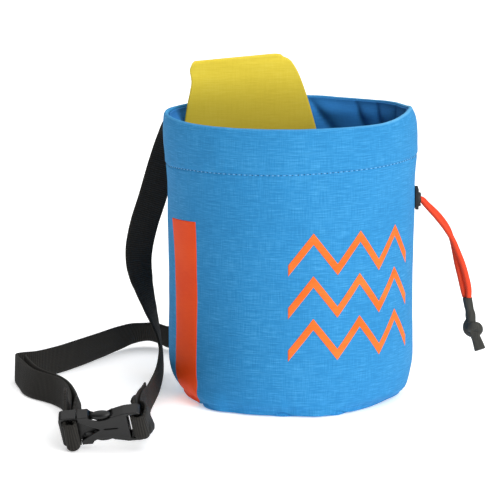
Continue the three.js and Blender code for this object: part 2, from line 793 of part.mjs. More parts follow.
const pieces = [
  ['bag_wall', turned(wallSection), paint(blueCloth, 0.85)],
  ['lining', turned(liningSection), paint(darkBlue, 0.88)],
  ['base_panel', basePanel(), paint(blueCloth, 0.86)],
  ['pull_tongue', tongue(), paint(yellowCloth, 0.82)],
  ['belt_loop', webbing(beltLoop, 3, loopWidth, loopThickness), paint(blackWeb, 0.8)],
  ['belt_main', webbing(beltMain, 4.2, webbingWidth, webbingThickness), paint(blackWeb, 0.78)],
  ['belt_fixed', webbing(beltFixed, 4.2, webbingWidth, webbingThickness), paint(blackWeb, 0.79)],
  ['buckle_male', maleBuckle(), paint(blackPlastic, 0.45)],
  ['buckle_female', femaleBuckle(), paint(blackPlastic, 0.42)],
  ['cord_guide', cordGuide(), paint(blackPlastic, 0.6)],
  ['drawcord_a', rounded(cordLines.drawcord_a, cordDiameter / 2, 8, 18), paint(orangeCord, 0.75)],
  ['drawcord_b', rounded(cordLines.drawcord_b, cordDiameter / 2, 8, 18), paint(orangeCord, 0.76)],
  ['cord_sleeve', rounded(sleeveLine, sleeveRadius, 10, 6), paint(greyRubber, 0.7)],
  ['pull_knot', pullKnot(), paint(greyRubber, 0.72)],
];

const bag = new THREE.Group();
for (const [name, geometry, material] of pieces) {
  const mesh = new THREE.Mesh(welded(geometry), material);
  mesh.name = name;
  bag.add(mesh);
}

export default bag;
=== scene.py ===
import math

import bpy
from mathutils import Matrix, Vector, noise


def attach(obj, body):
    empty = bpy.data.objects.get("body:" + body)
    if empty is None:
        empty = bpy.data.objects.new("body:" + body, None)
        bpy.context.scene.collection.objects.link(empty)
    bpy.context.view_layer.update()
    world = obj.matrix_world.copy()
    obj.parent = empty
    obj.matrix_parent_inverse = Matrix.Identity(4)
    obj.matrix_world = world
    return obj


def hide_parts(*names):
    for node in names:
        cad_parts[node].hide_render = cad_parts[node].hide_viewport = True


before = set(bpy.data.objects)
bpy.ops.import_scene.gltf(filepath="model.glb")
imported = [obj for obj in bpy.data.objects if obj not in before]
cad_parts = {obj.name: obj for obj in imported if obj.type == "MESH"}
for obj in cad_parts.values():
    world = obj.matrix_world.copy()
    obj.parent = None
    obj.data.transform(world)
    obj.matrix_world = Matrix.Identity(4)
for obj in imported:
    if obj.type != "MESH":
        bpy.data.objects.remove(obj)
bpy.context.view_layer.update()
print("frame loaded:", ", ".join(sorted(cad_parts)))

mm = 0.001  # every size below is in millimetres, and mm turns it to metres


def linear(hexColour, alpha=1.0):
    channels = [int(hexColour[i : i + 2], 16) / 255 for i in (1, 3, 5)]
    turned = [c / 12.92 if c <= 0.04045 else ((c + 0.055) / 1.055) ** 2.4 for c in channels]
    return (*turned, alpha)


def smoothStep(low, high, value):
    t = min(1.0, max(0.0, (value - low) / (high - low)))
    return t * t * (3 - 2 * t)


def hermite(t, start, leave, end, arrive):
    # a cubic from start to end, with its slopes at both
    ends = (2 * t**3 - 3 * t**2 + 1) * start + (3 * t**2 - 2 * t**3) * end
    return ends + (t**3 - 2 * t**2 + t) * leave + (t**3 - t**2) * arrive


def blendTable(table, at, period=None):
    # smooth cubic through rows of (place, value); a period closes the table into a loop
    rows = sorted(table)
    if period:
        at = (at - rows[0][0]) % period + rows[0][0]
        first = (rows[-1][0] - period, rows[-1][1])
        rows = [first] + rows + [(place + period, value) for place, value in rows[:2]]
    if at <= rows[0][0]:
        return rows[0][1]
    if at >= rows[-1][0]:
        return rows[-1][1]
    i = next(k for k in range(len(rows) - 1) if rows[k][0] <= at <= rows[k + 1][0])
    (x0, y0), (x1, y1) = rows[i], rows[i + 1]
    before = rows[i - 1] if i > 0 else rows[i]
    after = rows[i + 2] if i + 2 < len(rows) else rows[i + 1]
    leave = (y1 - before[1]) / (x1 - before[0]) * (x1 - x0)
    arrive = (after[1] - y0) / (after[0] - x0) * (x1 - x0)
    return hermite((at - x0) / (x1 - x0), y0, leave, y1, arrive)


def makePiece(name, points, faces, material, stands=(), uv=None):
    # points in mm; uv holds one (u, v) in metres for each face corner
    mesh = bpy.data.meshes.new(name)
    mesh.from_pydata([Vector(p) * mm for p in points], [], faces)
    if uv:
        layer = mesh.uv_layers.new(name="thread")
        for corner, spot in zip(layer.data, uv):
            corner.uv = spot
    mesh.validate()
    for face in mesh.polygons:
        face.use_smooth = True
    piece = bpy.data.objects.new(name, mesh)
    bpy.context.scene.collection.objects.link(piece)
    mesh.materials.append(material)
    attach(piece, "root")
    if stands:
        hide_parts(*stands)
    return piece


def gridFaces(columns, rows, wrapColumns=False, wrapRows=False):
    faces = []
    for c in range(columns if wrapColumns else columns - 1):
        here, there = c * rows, (c + 1) % columns * rows
        for r in range(rows if wrapRows else rows - 1):
            nextR = (r + 1) % rows
            faces.append((here + r, there + r, there + nextR, here + nextR))
    return faces


def sheetFaces(columns, rows):
    # a thin closed sheet: its front, its back, whose points follow the front's, and its four edges
    count = columns * rows
    front = gridFaces(columns, rows)
    faces = front + [tuple(count + k for k in reversed(face)) for face in front]
    edges = [(c * rows + r, (c + 1) * rows + r, r > 0) for c in range(columns - 1) for r in (0, rows - 1)]
    edges += [(c * rows + r, c * rows + r + 1, c == 0) for r in range(rows - 1) for c in (0, columns - 1)]
    for a, b, flip in edges:
        quad = (a, a + count, b + count, b)
        faces.append(tuple(reversed(quad)) if flip else quad)
    return faces


def ringFaces(rings, sides, start=0, inward=False):
    # the skin of a tube of rings, capped at both ends
    faces = []
    for n in range(rings - 1):
        low, high = start + n * sides, start + (n + 1) * sides
        for k in range(sides):
            nextK = (k + 1) % sides
            faces.append((low + k, low + nextK, high + nextK, high + k))
    last = start + (rings - 1) * sides
    faces += [tuple(range(start + sides - 1, start - 1, -1)), tuple(range(last, last + sides))]
    return [tuple(reversed(face)) for face in faces] if inward else faces


def ringUv(rings, length, across):
    # (across, along) in metres for each corner of ringFaces; across holds one place more than the sides
    uv = []
    for n in range(rings - 1):
        low, high = (length * k / (rings - 1) * mm for k in (n, n + 1))
        for left, right in zip(across, across[1:]):
            uv += [(left, low), (right, low), (right, high), (left, high)]
    return uv + [(0, 0)] * (2 * (len(across) - 1))


def addNode(tree, kind, settings):
    # settings by attribute, input name or input index; a socket given as a value is linked
    node = tree.nodes.new("ShaderNode" + kind)
    for key, value in settings.items():
        if isinstance(value, bpy.types.NodeSocket):
            tree.links.new(value, node.inputs[key])
        elif isinstance(key, str) and hasattr(node, key) and key not in node.inputs:
            setattr(node, key, value)
        else:
            node.inputs[key].default_value = value
    return node


def melt(piece, voxel, rounds):
    # rounds a piece's edges: voxel is in mm
    remesh = piece.modifiers.new("melt", "REMESH")
    remesh.mode = "VOXEL"
    remesh.voxel_size = voxel * mm
    remesh.use_smooth_shade = True
    soften = piece.modifiers.new("soften", "SMOOTH")
    soften.factor, soften.iterations = 0.5, rounds


def newMaterial(name, roughness, specular=0.5, sheen=0.0, sheenTint="#ffffff"):
    material = bpy.data.materials.new(name)
    material.use_nodes = True
    tree = material.node_tree
    shader = tree.nodes["Principled BSDF"]
    for socket, value in (
        ("Roughness", roughness),
        ("Specular IOR Level", specular),
        ("Sheen Weight", sheen),
        ("Sheen Roughness", 0.5),
        ("Sheen Tint", linear(sheenTint)),
    ):
        shader.inputs[socket].default_value = value
    return material, tree, shader


def threadSpace(tree, lay, radius=67.0):
    # coordinates in mm that follow the cloth: round the bag, upright, level, or along a strap
    if lay == "strap":
        spot = addNode(tree, "UVMap", {"uv_map": "thread"}).outputs["UV"]
    else:
        spot = addNode(tree, "TexCoord", {}).outputs["Object"]
    spot = addNode(tree, "VectorMath", {"operation": "SCALE", 0: spot, "Scale": 1 / mm}).outputs[0]
    if lay in ("strap", "level"):
        return spot
    parts = addNode(tree, "SeparateXYZ", {0: spot}).outputs
    if lay == "upright":
        return addNode(tree, "CombineXYZ", {0: parts["X"], 1: parts["Z"], 2: parts["Y"]}).outputs[0]
    front = addNode(tree, "Math", {"operation": "MULTIPLY", 0: parts["Y"], 1: -1.0}).outputs[0]
    angle = addNode(tree, "Math", {"operation": "ARCTAN2", 0: parts["X"], 1: front}).outputs[0]
    arc = addNode(tree, "Math", {"operation": "MULTIPLY", 0: angle, 1: radius}).outputs[0]
    return addNode(tree, "CombineXYZ", {0: arc, 1: parts["Z"]}).outputs[0]


def slubs(tree, space, long, thick, upright, seed):
    # streaks of uneven yarn, long by thick in mm
    sizes = (1 / thick, 1 / long, 0.2) if upright else (1 / long, 1 / thick, 0.2)
    shift = (seed * 7.3, seed * 3.1, seed)
    placed = addNode(tree, "VectorMath", {"operation": "MULTIPLY_ADD", 0: space, 1: sizes, 2: shift})
    yarn = {"Scale": 1.0, "Detail": 2.0, "Roughness": 0.55, "Vector": placed.outputs[0]}
    return addNode(tree, "TexNoise", yarn).outputs["Fac"]


def mingle(tree, parts, start=0.0):
    # the sum of patterns, each with its share
    for pattern, share in parts:
        added = {"operation": "MULTIPLY_ADD", 0: pattern, 1: share, 2: start}
        start = addNode(tree, "Math", added).outputs[0]
    return start


def dye(tree, pattern, low, high, colours):
    # colour that turns from dark to pale as the pattern goes from low to high
    ramp = addNode(tree, "ValToRGB", {0: pattern})
    stops = ramp.color_ramp.elements
    stops[0].position, stops[0].color = low, linear(colours["dark"])
    stops[1].position, stops[1].color = high, linear(colours["pale"])
    if "mid" in colours:
        stops.new(0.5).color = linear(colours["mid"])
    return ramp.outputs["Color"]


def finishSurface(tree, shader, colour, height=None, strength=0.0, depth=0.0):
    # gives the shader its colour and its relief, depth in mm
    tree.links.new(colour, shader.inputs["Base Color"])
    if height is not None:
        relief = {"Strength": strength, "Distance": depth * mm, "Height": height}
        tree.links.new(addNode(tree, "Bump", relief).outputs[0], shader.inputs["Normal"])


bandPitch = 0.314  # a wave texture at scale 1 has one band in this many mm

cloth = {
    # length and thickness of the slubs in mm, whether they run upright, seed and share of the colour
    "streaks": [(12.0, 0.42, False, 1, 0.42), (9.0, 0.42, True, 2, 0.24), (4.5, 0.36, False, 3, 0.26)],
    "clouds": (42.0, 26.0, False, 4),
    "cloudShare": 0.1,
    "yarn": 0.7,  # mm a thread
}


def slubCloth(name, lay, colours, roughness, sheen, streak=1.0, paintedHighlight=0.0, paintedLight=None):
    # plain-woven polyester from space-dyed yarn: pale and dark slubs run both ways and break up the colour
    material, tree, shader = newMaterial(name, roughness, 0.3, sheen, colours["pale"])
    space = threadSpace(tree, lay)
    rows = [(slubs(tree, space, *row[:4]), row[4] * streak) for row in cloth["streaks"]]
    rows.append((slubs(tree, space, *cloth["clouds"]), cloth["cloudShare"]))
    both = mingle(tree, rows, 0.5 - 0.5 * sum(share for pattern, share in rows))
    colour = dye(tree, both, 0.34, 0.68, colours)
    layers = []
    if paintedHighlight:
        # painted highlight: the fold at the rim is painted pale where the light catches it, most at the right
        # and front-right; its points carry how much in a point attribute
        wearAndHighlight = addNode(tree, "Attribute", {"attribute_name": "wearAndHighlight"}).outputs["Fac"]
        layers.append((mingle(tree, [(wearAndHighlight, paintedHighlight)]), colours["paintedHighlight"]))
    if paintedLight:
        # painted shade: darker toward the mouth of the bag, where the mouth shades it, by height in mm
        fall = {"From Min": paintedLight["from"], "From Max": paintedLight["to"], "To Min": paintedLight["most"], "To Max": 0.0}
        fall["Value"] = addNode(tree, "SeparateXYZ", {0: space}).outputs["Y"]
        layers.append((addNode(tree, "MapRange", fall).outputs[0], paintedLight["colour"]))
    for share, other in layers:
        mixed = {"data_type": "RGBA", 0: share, 6: colour, 7: linear(other)}
        colour = addNode(tree, "Mix", mixed).outputs[2]
    # the weave itself is about 0.3 mm a thread, drawn at the yarn size so that it shows
    weave = []
    for way in "XY":
        bands = {"bands_direction": way, "Scale": bandPitch / cloth["yarn"], "Vector": space}
        bands.update({"Distortion": 0.6, "Detail": 1.0, "Detail Scale": 1.5})
        weave.append((addNode(tree, "TexWave", bands).outputs["Fac"], 1.0))
    finishSurface(tree, shader, colour, mingle(tree, weave + [(both, 1.4)]), 0.18, 0.12)
    return material


def screenPrint(name, colours):
    # plastisol ink pressed into the cloth: even colour, a slight satin face, the weave faint under it
    material, tree, shader = newMaterial(name, 0.62, 0.15)
    space = threadSpace(tree, "round")
    wearAndHighlight = slubs(tree, space, 6.0, 0.6, False, 6)
    broad = slubs(tree, space, 30.0, 18.0, False, 7)
    ink = dye(tree, mingle(tree, [(wearAndHighlight, 0.4), (broad, 0.6)]), 0.35, 0.65, colours)
    finishSurface(tree, shader, ink, wearAndHighlight, 0.12, 0.1)
    return material


def polyesterWebbing(name, colours, rib, warp):
    # dense black polyester webbing: weft ribs across it, matte, with a faint grey bloom on the ribs' crowns
    material, tree, shader = newMaterial(name, 0.8, 0.22, 0.12, "#8a8a88")
    space = threadSpace(tree, "strap")
    ribs = {"bands_direction": "Y", "Scale": bandPitch / rib, "Distortion": 0.4, "Detail": 1.0}
    warps = {"bands_direction": "X", "Scale": bandPitch / warp, "Distortion": 0.3}
    bands = [addNode(tree, "TexWave", {**each, "Vector": space}).outputs["Fac"] for each in (ribs, warps)]
    height = mingle(tree, [(bands[0], 1.0), (bands[1], 0.35)])
    speckle = addNode(tree, "TexNoise", {"Scale": 1.6, "Detail": 3.0, "Vector": space}).outputs["Fac"]
    black = dye(tree, mingle(tree, [(height, 0.5), (speckle, 0.5)]), 0.25, 0.95, colours)
    finishSurface(tree, shader, black, height, 0.5, 0.12)
    return material


def mouldedPlastic(name, colours, roughness):
    # injection-moulded acetal: even dark grey, a fine spark-eroded grain that softens its highlights
    material, tree, shader = newMaterial(name, roughness, 0.38)
    space = threadSpace(tree, "level")
    grain = addNode(tree, "TexNoise", {"Scale": 5.0, "Detail": 3.0, "Vector": space}).outputs["Fac"]
    cloud = addNode(tree, "TexNoise", {"Scale": 0.12, "Detail": 2.0, "Vector": space}).outputs["Fac"]
    spread = {"Value": grain, "To Min": roughness - 0.05, "To Max": roughness + 0.08}
    tree.links.new(addNode(tree, "MapRange", spread).outputs[0], shader.inputs["Roughness"])
    finishSurface(tree, shader, dye(tree, cloud, 0.3, 0.7, colours), grain, 0.15, 0.05)
    return material


def braidedCord(name, colours, strand):
    # braided polyester cord: crossing strands give it a fine diamond relief
    material, tree, shader = newMaterial(name, 0.62, 0.3, 0.06, "#ff9a7a")
    space = threadSpace(tree, "strap")
    crossing = {"operation": "MAXIMUM"}
    for index, lean in enumerate((45, -45)):
        leaned = addNode(tree, "Mapping", {"Vector": space, "Rotation": (0, 0, math.radians(lean))})
        bands = {"bands_direction": "X", "Scale": bandPitch / strand, "Distortion": 0.2}
        bands["Vector"] = leaned.outputs[0]
        crossing[index] = addNode(tree, "TexWave", bands).outputs["Fac"]
    height = addNode(tree, "Math", crossing).outputs[0]
    finishSurface(tree, shader, dye(tree, height, 0.1, 0.8, colours), height, 0.4, 0.1)
    return material


def shrunkRubber(name, colours):
    # heat-shrunk rubber tube: dull olive black, with faint wrinkles along it
    material, tree, shader = newMaterial(name, 0.66, 0.35)
    wrinkle = slubs(tree, threadSpace(tree, "upright"), 5.0, 0.8, True, 9)
    finishSurface(tree, shader, dye(tree, wrinkle, 0.3, 0.7, colours), wrinkle, 0.35, 0.2)
    return material


def spunThread(name, colours):
    # polyester sewing thread, slightly glossy, its plies a little uneven in colour
    material, tree, shader = newMaterial(name, 0.55, 0.4)
    space = threadSpace(tree, "level")
    ply = addNode(tree, "TexNoise", {"Scale": 2.5, "Detail": 1.0, "Vector": space}).outputs["Fac"]
    finishSurface(tree, shader, dye(tree, ply, 0.3, 0.7, colours))
    return material


# blue's palest colour is a painted highlight, mixed in along the fold at the rim of the wall cloth
blue = {"dark": "#2275ab", "mid": "#2783bd", "pale": "#4ca3d7", "paintedHighlight": "#6cb9e6"}
# painted shade: the lining is the wall's cloth, its colours made darker for the shade inside the bag
liningShadedBlue = {"dark": "#1f63a0", "mid": "#2371b5", "pale": "#3381c1"}
baseBlue = {"dark": "#2276ad", "mid": "#2884c0", "pale": "#459cd2"}
yellow = {"dark": "#c8b02b", "mid": "#dbc339", "pale": "#e5d355"}
# painted shade on the yellow tongue: darker toward the bag's mouth, by height in mm
paintedMouthShade = {"from": 138, "to": 173, "most": 0.72, "colour": "#8f7a16"}
wallCloth = slubCloth("slubPolyesterBlue", "round", blue, 0.85, 0.06, paintedHighlight=0.6)
liningCloth = slubCloth("slubPolyesterLining", "round", liningShadedBlue, 0.88, 0.06, streak=0.6)
baseCloth = slubCloth("slubPolyesterBase", "level", baseBlue, 0.86, 0.08)
tongueCloth = slubCloth("slubPolyesterYellow", "upright", yellow, 0.82, 0.05, streak=0.5, paintedLight=paintedMouthShade)
bandPrint = screenPrint("plastisolInkBand", {"dark": "#e64610", "pale": "#ee5115"})
frontPrint = screenPrint("plastisolInkFront", {"dark": "#f8651f", "pale": "#fb7a35"})
webbingBlack = {"dark": "#100f0e", "pale": "#2c2a26"}
blackWebbing = polyesterWebbing("polyesterWebbingBlack", webbingBlack, rib=1.15, warp=0.9)
buckleAcetal = mouldedPlastic("acetalBuckle", {"dark": "#0b0b0b", "pale": "#0f0f0f"}, 0.36)
guideAcetal = mouldedPlastic("acetalGuide", {"dark": "#151514", "pale": "#1b1b1a"}, 0.48)
orangeCord = braidedCord("braidedCordOrange", {"dark": "#b52a0c", "pale": "#ee441c"}, strand=0.62)
sleeveRubber = shrunkRubber("heatShrinkRubber", {"dark": "#272723", "pale": "#363631"})
hemThread = spunThread("spunThreadPale", {"dark": "#569bcb", "pale": "#80b8de"})
# painted shade: dark blue marks sunk in the stitch holes between the stitches, where the dents are shaded
holeShade = spunThread("paintedHoleShade", {"dark": "#103552", "pale": "#18476c"})
print("materials made:", len(bpy.data.materials))


view = {
    "place": (-0.0225, -1.600, 0.372),  # metres, fitted to the photo
    "aim": (-0.0225, 0.0, 0.0795),
    "lens": 212.6,
    "sensor": 36,
    "clip": (0.05, 60),
}


def addCamera():
    data = bpy.data.cameras.new("camera")
    data.lens = view["lens"]
    data.sensor_width = view["sensor"]
    data.clip_start, data.clip_end = view["clip"]
    camera = bpy.data.objects.new("camera", data)
    camera.location = view["place"]
    camera.rotation_mode = "QUATERNION"
    camera.rotation_quaternion = (Vector(view["aim"]) - Vector(view["place"])).to_track_quat("-Z", "Y")
    bpy.context.scene.collection.objects.link(camera)
    bpy.context.scene.camera = camera


addCamera()


def splinePoint(points, place, centripetal=True, tension=0.5):
    # place runs from 0 to len(points) - 1
    i = min(int(place), len(points) - 2)
    p1, p2 = points[i], points[i + 1]
    p0 = points[i - 1] if i > 0 else 2 * p1 - p2
    p3 = points[i + 2] if i + 2 < len(points) else 2 * p2 - p1
    if centripetal:
        d0, d1, d2 = (max(1e-4, (b - a).length ** 0.5) for a, b in ((p0, p1), (p1, p2), (p2, p3)))
        leave = ((p1 - p0) / d0 - (p2 - p0) / (d0 + d1) + (p2 - p1) / d1) * d1
        arrive = ((p2 - p1) / d1 - (p3 - p1) / (d1 + d2) + (p3 - p2) / d2) * d1
    else:
        leave, arrive = (p2 - p0) * tension, (p3 - p1) * tension
    return hermite(place - i, p1, leave, p2, arrive)


def evenWalk(points, step):
    # places along a spline, evenly spaced by length
    fine = [k / 24 for k in range((len(points) - 1) * 24 + 1)]
    spots = [splinePoint(points, p) for p in fine]
    travelled = [0.0]
    for a, b in zip(spots, spots[1:]):
        travelled.append(travelled[-1] + (b - a).length)
    count = max(2, round(travelled[-1] / step))
    places, k = [], 0
    for n in range(count + 1):
        want = travelled[-1] * n / count
        while k < len(fine) - 2 and travelled[k + 1] < want:
            k += 1
        span = travelled[k + 1] - travelled[k]
        places.append(fine[k] + (fine[k + 1] - fine[k]) * min(1.0, (want - travelled[k]) / span))
    return places, travelled[-1]


def tube(points, radiusAt, sides, step):
    # a round tube along a spline: its points, faces, uv, ring centres and length
    line = [Vector(p) for p in points]
    places, length = evenWalk(line, step)
    centres = [splinePoint(line, p) for p in places]
    rings = len(centres)
    normal, skin = None, []
    for n, centre in enumerate(centres):
        ahead = centres[min(n + 1, rings - 1)] - centres[max(n - 1, 0)]
        ahead.normalize()
        normal = ahead.orthogonal() if normal is None else normal - ahead * normal.dot(ahead)
        normal.normalize()
        side = ahead.cross(normal)
        for k in range(sides):
            turn = 2 * math.pi * k / sides
            reach = radiusAt(n / (rings - 1), turn)
            skin.append(centre + (normal * math.cos(turn) + side * math.sin(turn)) * reach)
    uv = ringUv(rings, length, [k / sides * drawcord["braidRound"] * mm for k in range(sides + 1)])
    return skin, ringFaces(rings, sides), uv, centres, length


drawcord = {
    "diameter": 3.0,
    "braidRound": 6.9,  # mm of braid pattern round a cord
    "swell": 0.1,  # a little fatter where the slack halves lie side by side
    "sleeveRadius": [(0, 2.62), (0.2, 2.6), (0.35, 2.45), (0.6, 2.75), (0.85, 2.9), (1.0, 2.6)],
    "front": [
        (70.4, -2.45, 108), (71.9, -2.45, 107.5), (74.4, -2.5, 104.7), (79.6, -2.5, 98.9),
        (84.9, -2.5, 92.2), (89, -2.45, 85.6), (91.9, -2.4, 78.8), (94.5, -2.4, 72.1),
        (96.5, -2.35, 65.4), (98, -2.3, 58.7), (98.2, -2.3, 53.3),
    ],
    "back": [
        (70.4, 0.65, 108), (72, 0.65, 107.8), (74.8, 0.65, 105.1), (81.6, 0.65, 98.4),
        (86.3, 0.75, 91.7), (88.8, 0.75, 85), (90.4, 0.7, 78.3), (91.8, 0.65, 71.6),
        (93.5, 0.55, 64.8), (95.1, 0.45, 58.1), (96.3, 0.4, 53.3),
    ],
    "sleeve": [(97.3, -1, 53.4), (98.3, -1, 48.5), (99.3, -1, 43.5), (99.5, -1, 39.6), (98.9, -1.2, 36.6)],
    # where the knotted end's strands run, and their half width and half depth
    "lobeHalf": {"left": (2.6, 2.4), "over": (2.5, 2.2), "tail": (2.9, 1.6)},
    "lobes": {
        "left": [
            (99.4, -1.0, 40.0), (97.9, -0.6, 37.4), (98.3, 0.4, 34.2), (101.0, 1.1, 32.6), (103.6, 0.6, 33.6),
        ],
        "over": [
            (98.3, -2.2, 35.2), (100.2, -3.4, 37.4), (103.0, -2.8, 37.0), (104.0, -0.8, 34.6),
            (102.2, 0.6, 32.4),
        ],
        "tail": [(100.4, -1.6, 34.6), (102.0, -1.4, 31.6), (103.4, -1.2, 28.2), (104.9, -1.1, 23.7)],
    },
}


def cordReach(share, turn):
    swell = smoothStep(0.45, 0.7, share) * (1 - smoothStep(0.96, 1.0, share))
    return drawcord["diameter"] / 2 * (1 + drawcord["swell"] * swell)


def sleeveReach(share, turn):
    crumple = 0.09 * math.sin(share * 21 + 2 * turn) * smoothStep(0.05, 0.3, share)
    return blendTable(drawcord["sleeveRadius"], share) + crumple - 0.3 * smoothStep(0.985, 1.0, 1 - share)


def addKnot():
    # three fat strands melted into one: the turn at the left, the one over it and the flat tail
    points, faces, sides = [], [], 20
    for name, lobe in drawcord["lobes"].items():
        wide, deep = drawcord["lobeHalf"][name]
        line = [Vector(p) for p in lobe]
        centres = [splinePoint(line, p) for p in evenWalk(line, 0.5)[0]]
        faces += ringFaces(len(centres), sides, len(points))
        for n, centre in enumerate(centres):
            ahead = (centres[min(n + 1, len(centres) - 1)] - centres[max(n - 1, 0)]).normalized()
            side = ahead.cross(Vector((0, 1, 0))).normalized()
            deepWay = ahead.cross(side)
            flare = 0.88 + 0.2 * smoothStep(0.3, 1.0, n / (len(centres) - 1)) if name == "tail" else 1.0
            for k in range(sides):
                turn = 2 * math.pi * k / sides
                boxy = 1.0
                if name == "tail":
                    boxy = (abs(math.cos(turn)) ** 3 + abs(math.sin(turn)) ** 3) ** (-1 / 3)
                spot = side * math.cos(turn) * wide * flare + deepWay * math.sin(turn) * deep
                points.append(centre + spot * boxy)
    knot = makePiece("pullKnot", points, faces, sleeveRubber, ["pull_knot"])
    melt(knot, 0.25, 3)
    return knot


def addDrawcords():
    made = []
    for name, route, node, slot in (
        ("cordFront", "front", "drawcord_a", "cord_a"),
        ("cordBack", "back", "drawcord_b", "cord_b"),
    ):
        points, faces, uv, centres, length = tube(drawcord[route], cordReach, 24, 0.7)
        made.append((makePiece(name, points, faces, orangeCord, [node], uv), centres, length))
    points, faces, uv = tube(drawcord["sleeve"], sleeveReach, 24, 0.6)[:3]
    sleeve = makePiece("cordSleeve", points, faces, sleeveRubber, ["cord_sleeve"], uv)
    for (cord, path, length), parts in zip(made, ([sleeve, addKnot()], [])):
        print("drawcord:", cord.name, round(length, 1), "mm")


addDrawcords()


stitch = {
    "count": 140,
    "length": 2.1,
    "thick": 0.35,
    "sunk": 0.06,
    "holeLength": 1.15,
    "holeThick": 0.36,
    "holeSunk": 0.16,
}

bag = {
    "sides": 384,
    # outer half width by height, read along both sides
    "profile": [
        (0.5, 61.9), (1.5, 62.0), (2.9, 62.25), (3.4, 62.5), (4.2, 63.1), (5.2, 63.8), (6.7, 64.6),
        (8.4, 65.2), (10, 65.6), (12.4, 66.1), (16, 66.8), (20, 67.3), (34.5, 67.5), (48.6, 67.45),
        (62.7, 67.3), (76.7, 67.2), (90.7, 67.35), (104.6, 67.85), (115.7, 67.95), (124, 68.3), (129.6, 68.7),
        (134, 69.0), (138, 69.4), (143.4, 69.65), (147.3, 69.7), (151, 69.7), (155, 69.6), (162, 69.4),
    ],
    # height of the front and side edge round the mouth, degrees and mm
    "rim": [
        (-180, 156.4), (-168, 156.2), (-155, 155.9), (-143, 155.7), (-121, 155.7), (-104, 155.9),
        (-88, 156.1), (-72, 156.3), (-60, 156.4), (-46, 156.5), (-37, 157.1), (-30, 157.9), (-23, 158.7),
        (-15, 159.5), (-6, 159.6), (4, 159.0), (14, 157.9), (30, 157.6), (47, 156.7), (61, 156.4),
        (80, 156.9), (95, 156.6), (120, 156.3), (155, 156.1), (168, 156.5),
    ],
    # how far the top edge is drawn in as it rolls over, and how thick the roll is
    "rollIn": [
        (-180, 0.5), (-150, 0.6), (-90, 0.8), (-55, 1.2), (-30, 2.6), (-8, 3.7), (8, 3.7), (24, 3.2),
        (45, 2.2), (90, 1.5), (140, 0.9),
    ],
    "rollThick": [
        (-180, 2.6), (-150, 3.4), (-90, 3.2), (-50, 3.0), (-20, 2.6), (10, 2.4), (45, 1.9), (90, 1.7),
        (140, 2.0),
    ],
    # how far the foot bulges or draws in round the base, degrees and mm
    "footWave": [
        (-180, -2.6), (-172, -3.1), (-165, -3.1), (-157, -3.1), (-149, -2.7), (-142, -0.3), (-134, 2.1),
        (-127.5, 3.0), (-121, 1.0), (-115, 1.0), (-106, 0.6), (-91, 0.6), (-84, 1.5), (-79, 2.9), (-72, 2.8),
        (-66, 1.7), (-60, -0.1), (-52, -1.8), (-44, -3.0), (-36, -4.1), (-28, -4.5), (-23, -4.3), (-19, -3.6),
        (-15, -2.8), (-6, -1.4), (2, -0.9), (10, -0.8), (30, -0.4), (60, 0.6), (120, -0.6), (150, -1.2),
        (168, -2.0),
    ],
    # places where the wall's edge lifts and the base shows under it, degrees, half width and share
    "gaps": [(-136.5, 6.5, 1.0), (-95, 5, 0.9), (-67, 4.5, 0.9), (60, 8, 0.9), (140, 7, 0.8)],
    "drawnRight": 0.55,  # the hem band is drawn in a little at the drawcord's side
    "edgeLow": 0.55,  # height of the wall's lower edge
    "edgeLift": 2.5,  # how far it lifts at those places
    "thick": 1.6,
    "innerMost": 67.6,  # the inner face goes no further out than this
    # rows of points: heights near the foot, how many up to the hem, distances from the hem, shares of the
    # way from there to the roll, how far the inner face widens by its drop below the roll, and its heights
    "footRows": [0, 0.25, 0.6, 1.0, 1.6, 2.3, 3.2, 4.3, 5.6, 7.2, 9, 10.8, 13, 15.6, 18.6, 22, 26, 30],
    "middleRows": 46,
    "hemRows": [-3.2, -2.5, -1.9, -1.4, -1.0, -0.7, -0.4, 0, 0.4, 0.7, 1.0, 1.4, 1.9, 2.5, 3.2, 4],
    "topRows": [0.08, 0.16, 0.25, 0.34, 0.43, 0.52, 0.61, 0.7, 0.78, 0.85, 0.91, 0.96, 1.0],
    "rollRows": [(0.15, 1.5), (0.9, 3), (2.2, 5), (3.4, 8)],
    "innerRows": [140, 120, 100, 70, 40, 20, 12, 8, 5.4, 3.4],
    "hem": [
        (-171, 128.6), (-157, 129.6), (-143, 130.4), (-120, 131.1), (-96, 131.6), (-79, 132.4), (-62, 133.1),
        (-48, 133.5), (-32, 134.0), (-18, 134.0), (10, 133.4), (60, 132.4), (110, 130.8), (150, 129.2),
    ],
}


def hemHeight(degrees):
    return blendTable(bag["hem"], degrees, 360)


def rimHeight(degrees):
    return blendTable(bag["rim"], degrees, 360) + 0.12 * noise.noise(Vector((degrees / 7, 3, 1)))


def turnFrom(place, degrees):
    # signed angle from a place round the bag, -180 to 180
    return (degrees - place + 540) % 360 - 180


def gapAt(degrees):
    total = 0.0
    for place, half, deep in bag["gaps"]:
        total += deep * math.exp(-((turnFrom(place, degrees) / half) ** 2))
    return total


def ruffle(arc, times, up):
    # noise that closes round the bag
    return noise.noise(Vector((math.cos(arc) * times, math.sin(arc) * times, up)))


def turned(column, arc):
    # points of a column of (radius, height)
    return [(r * math.cos(arc), r * math.sin(arc), z) for r, z in column]


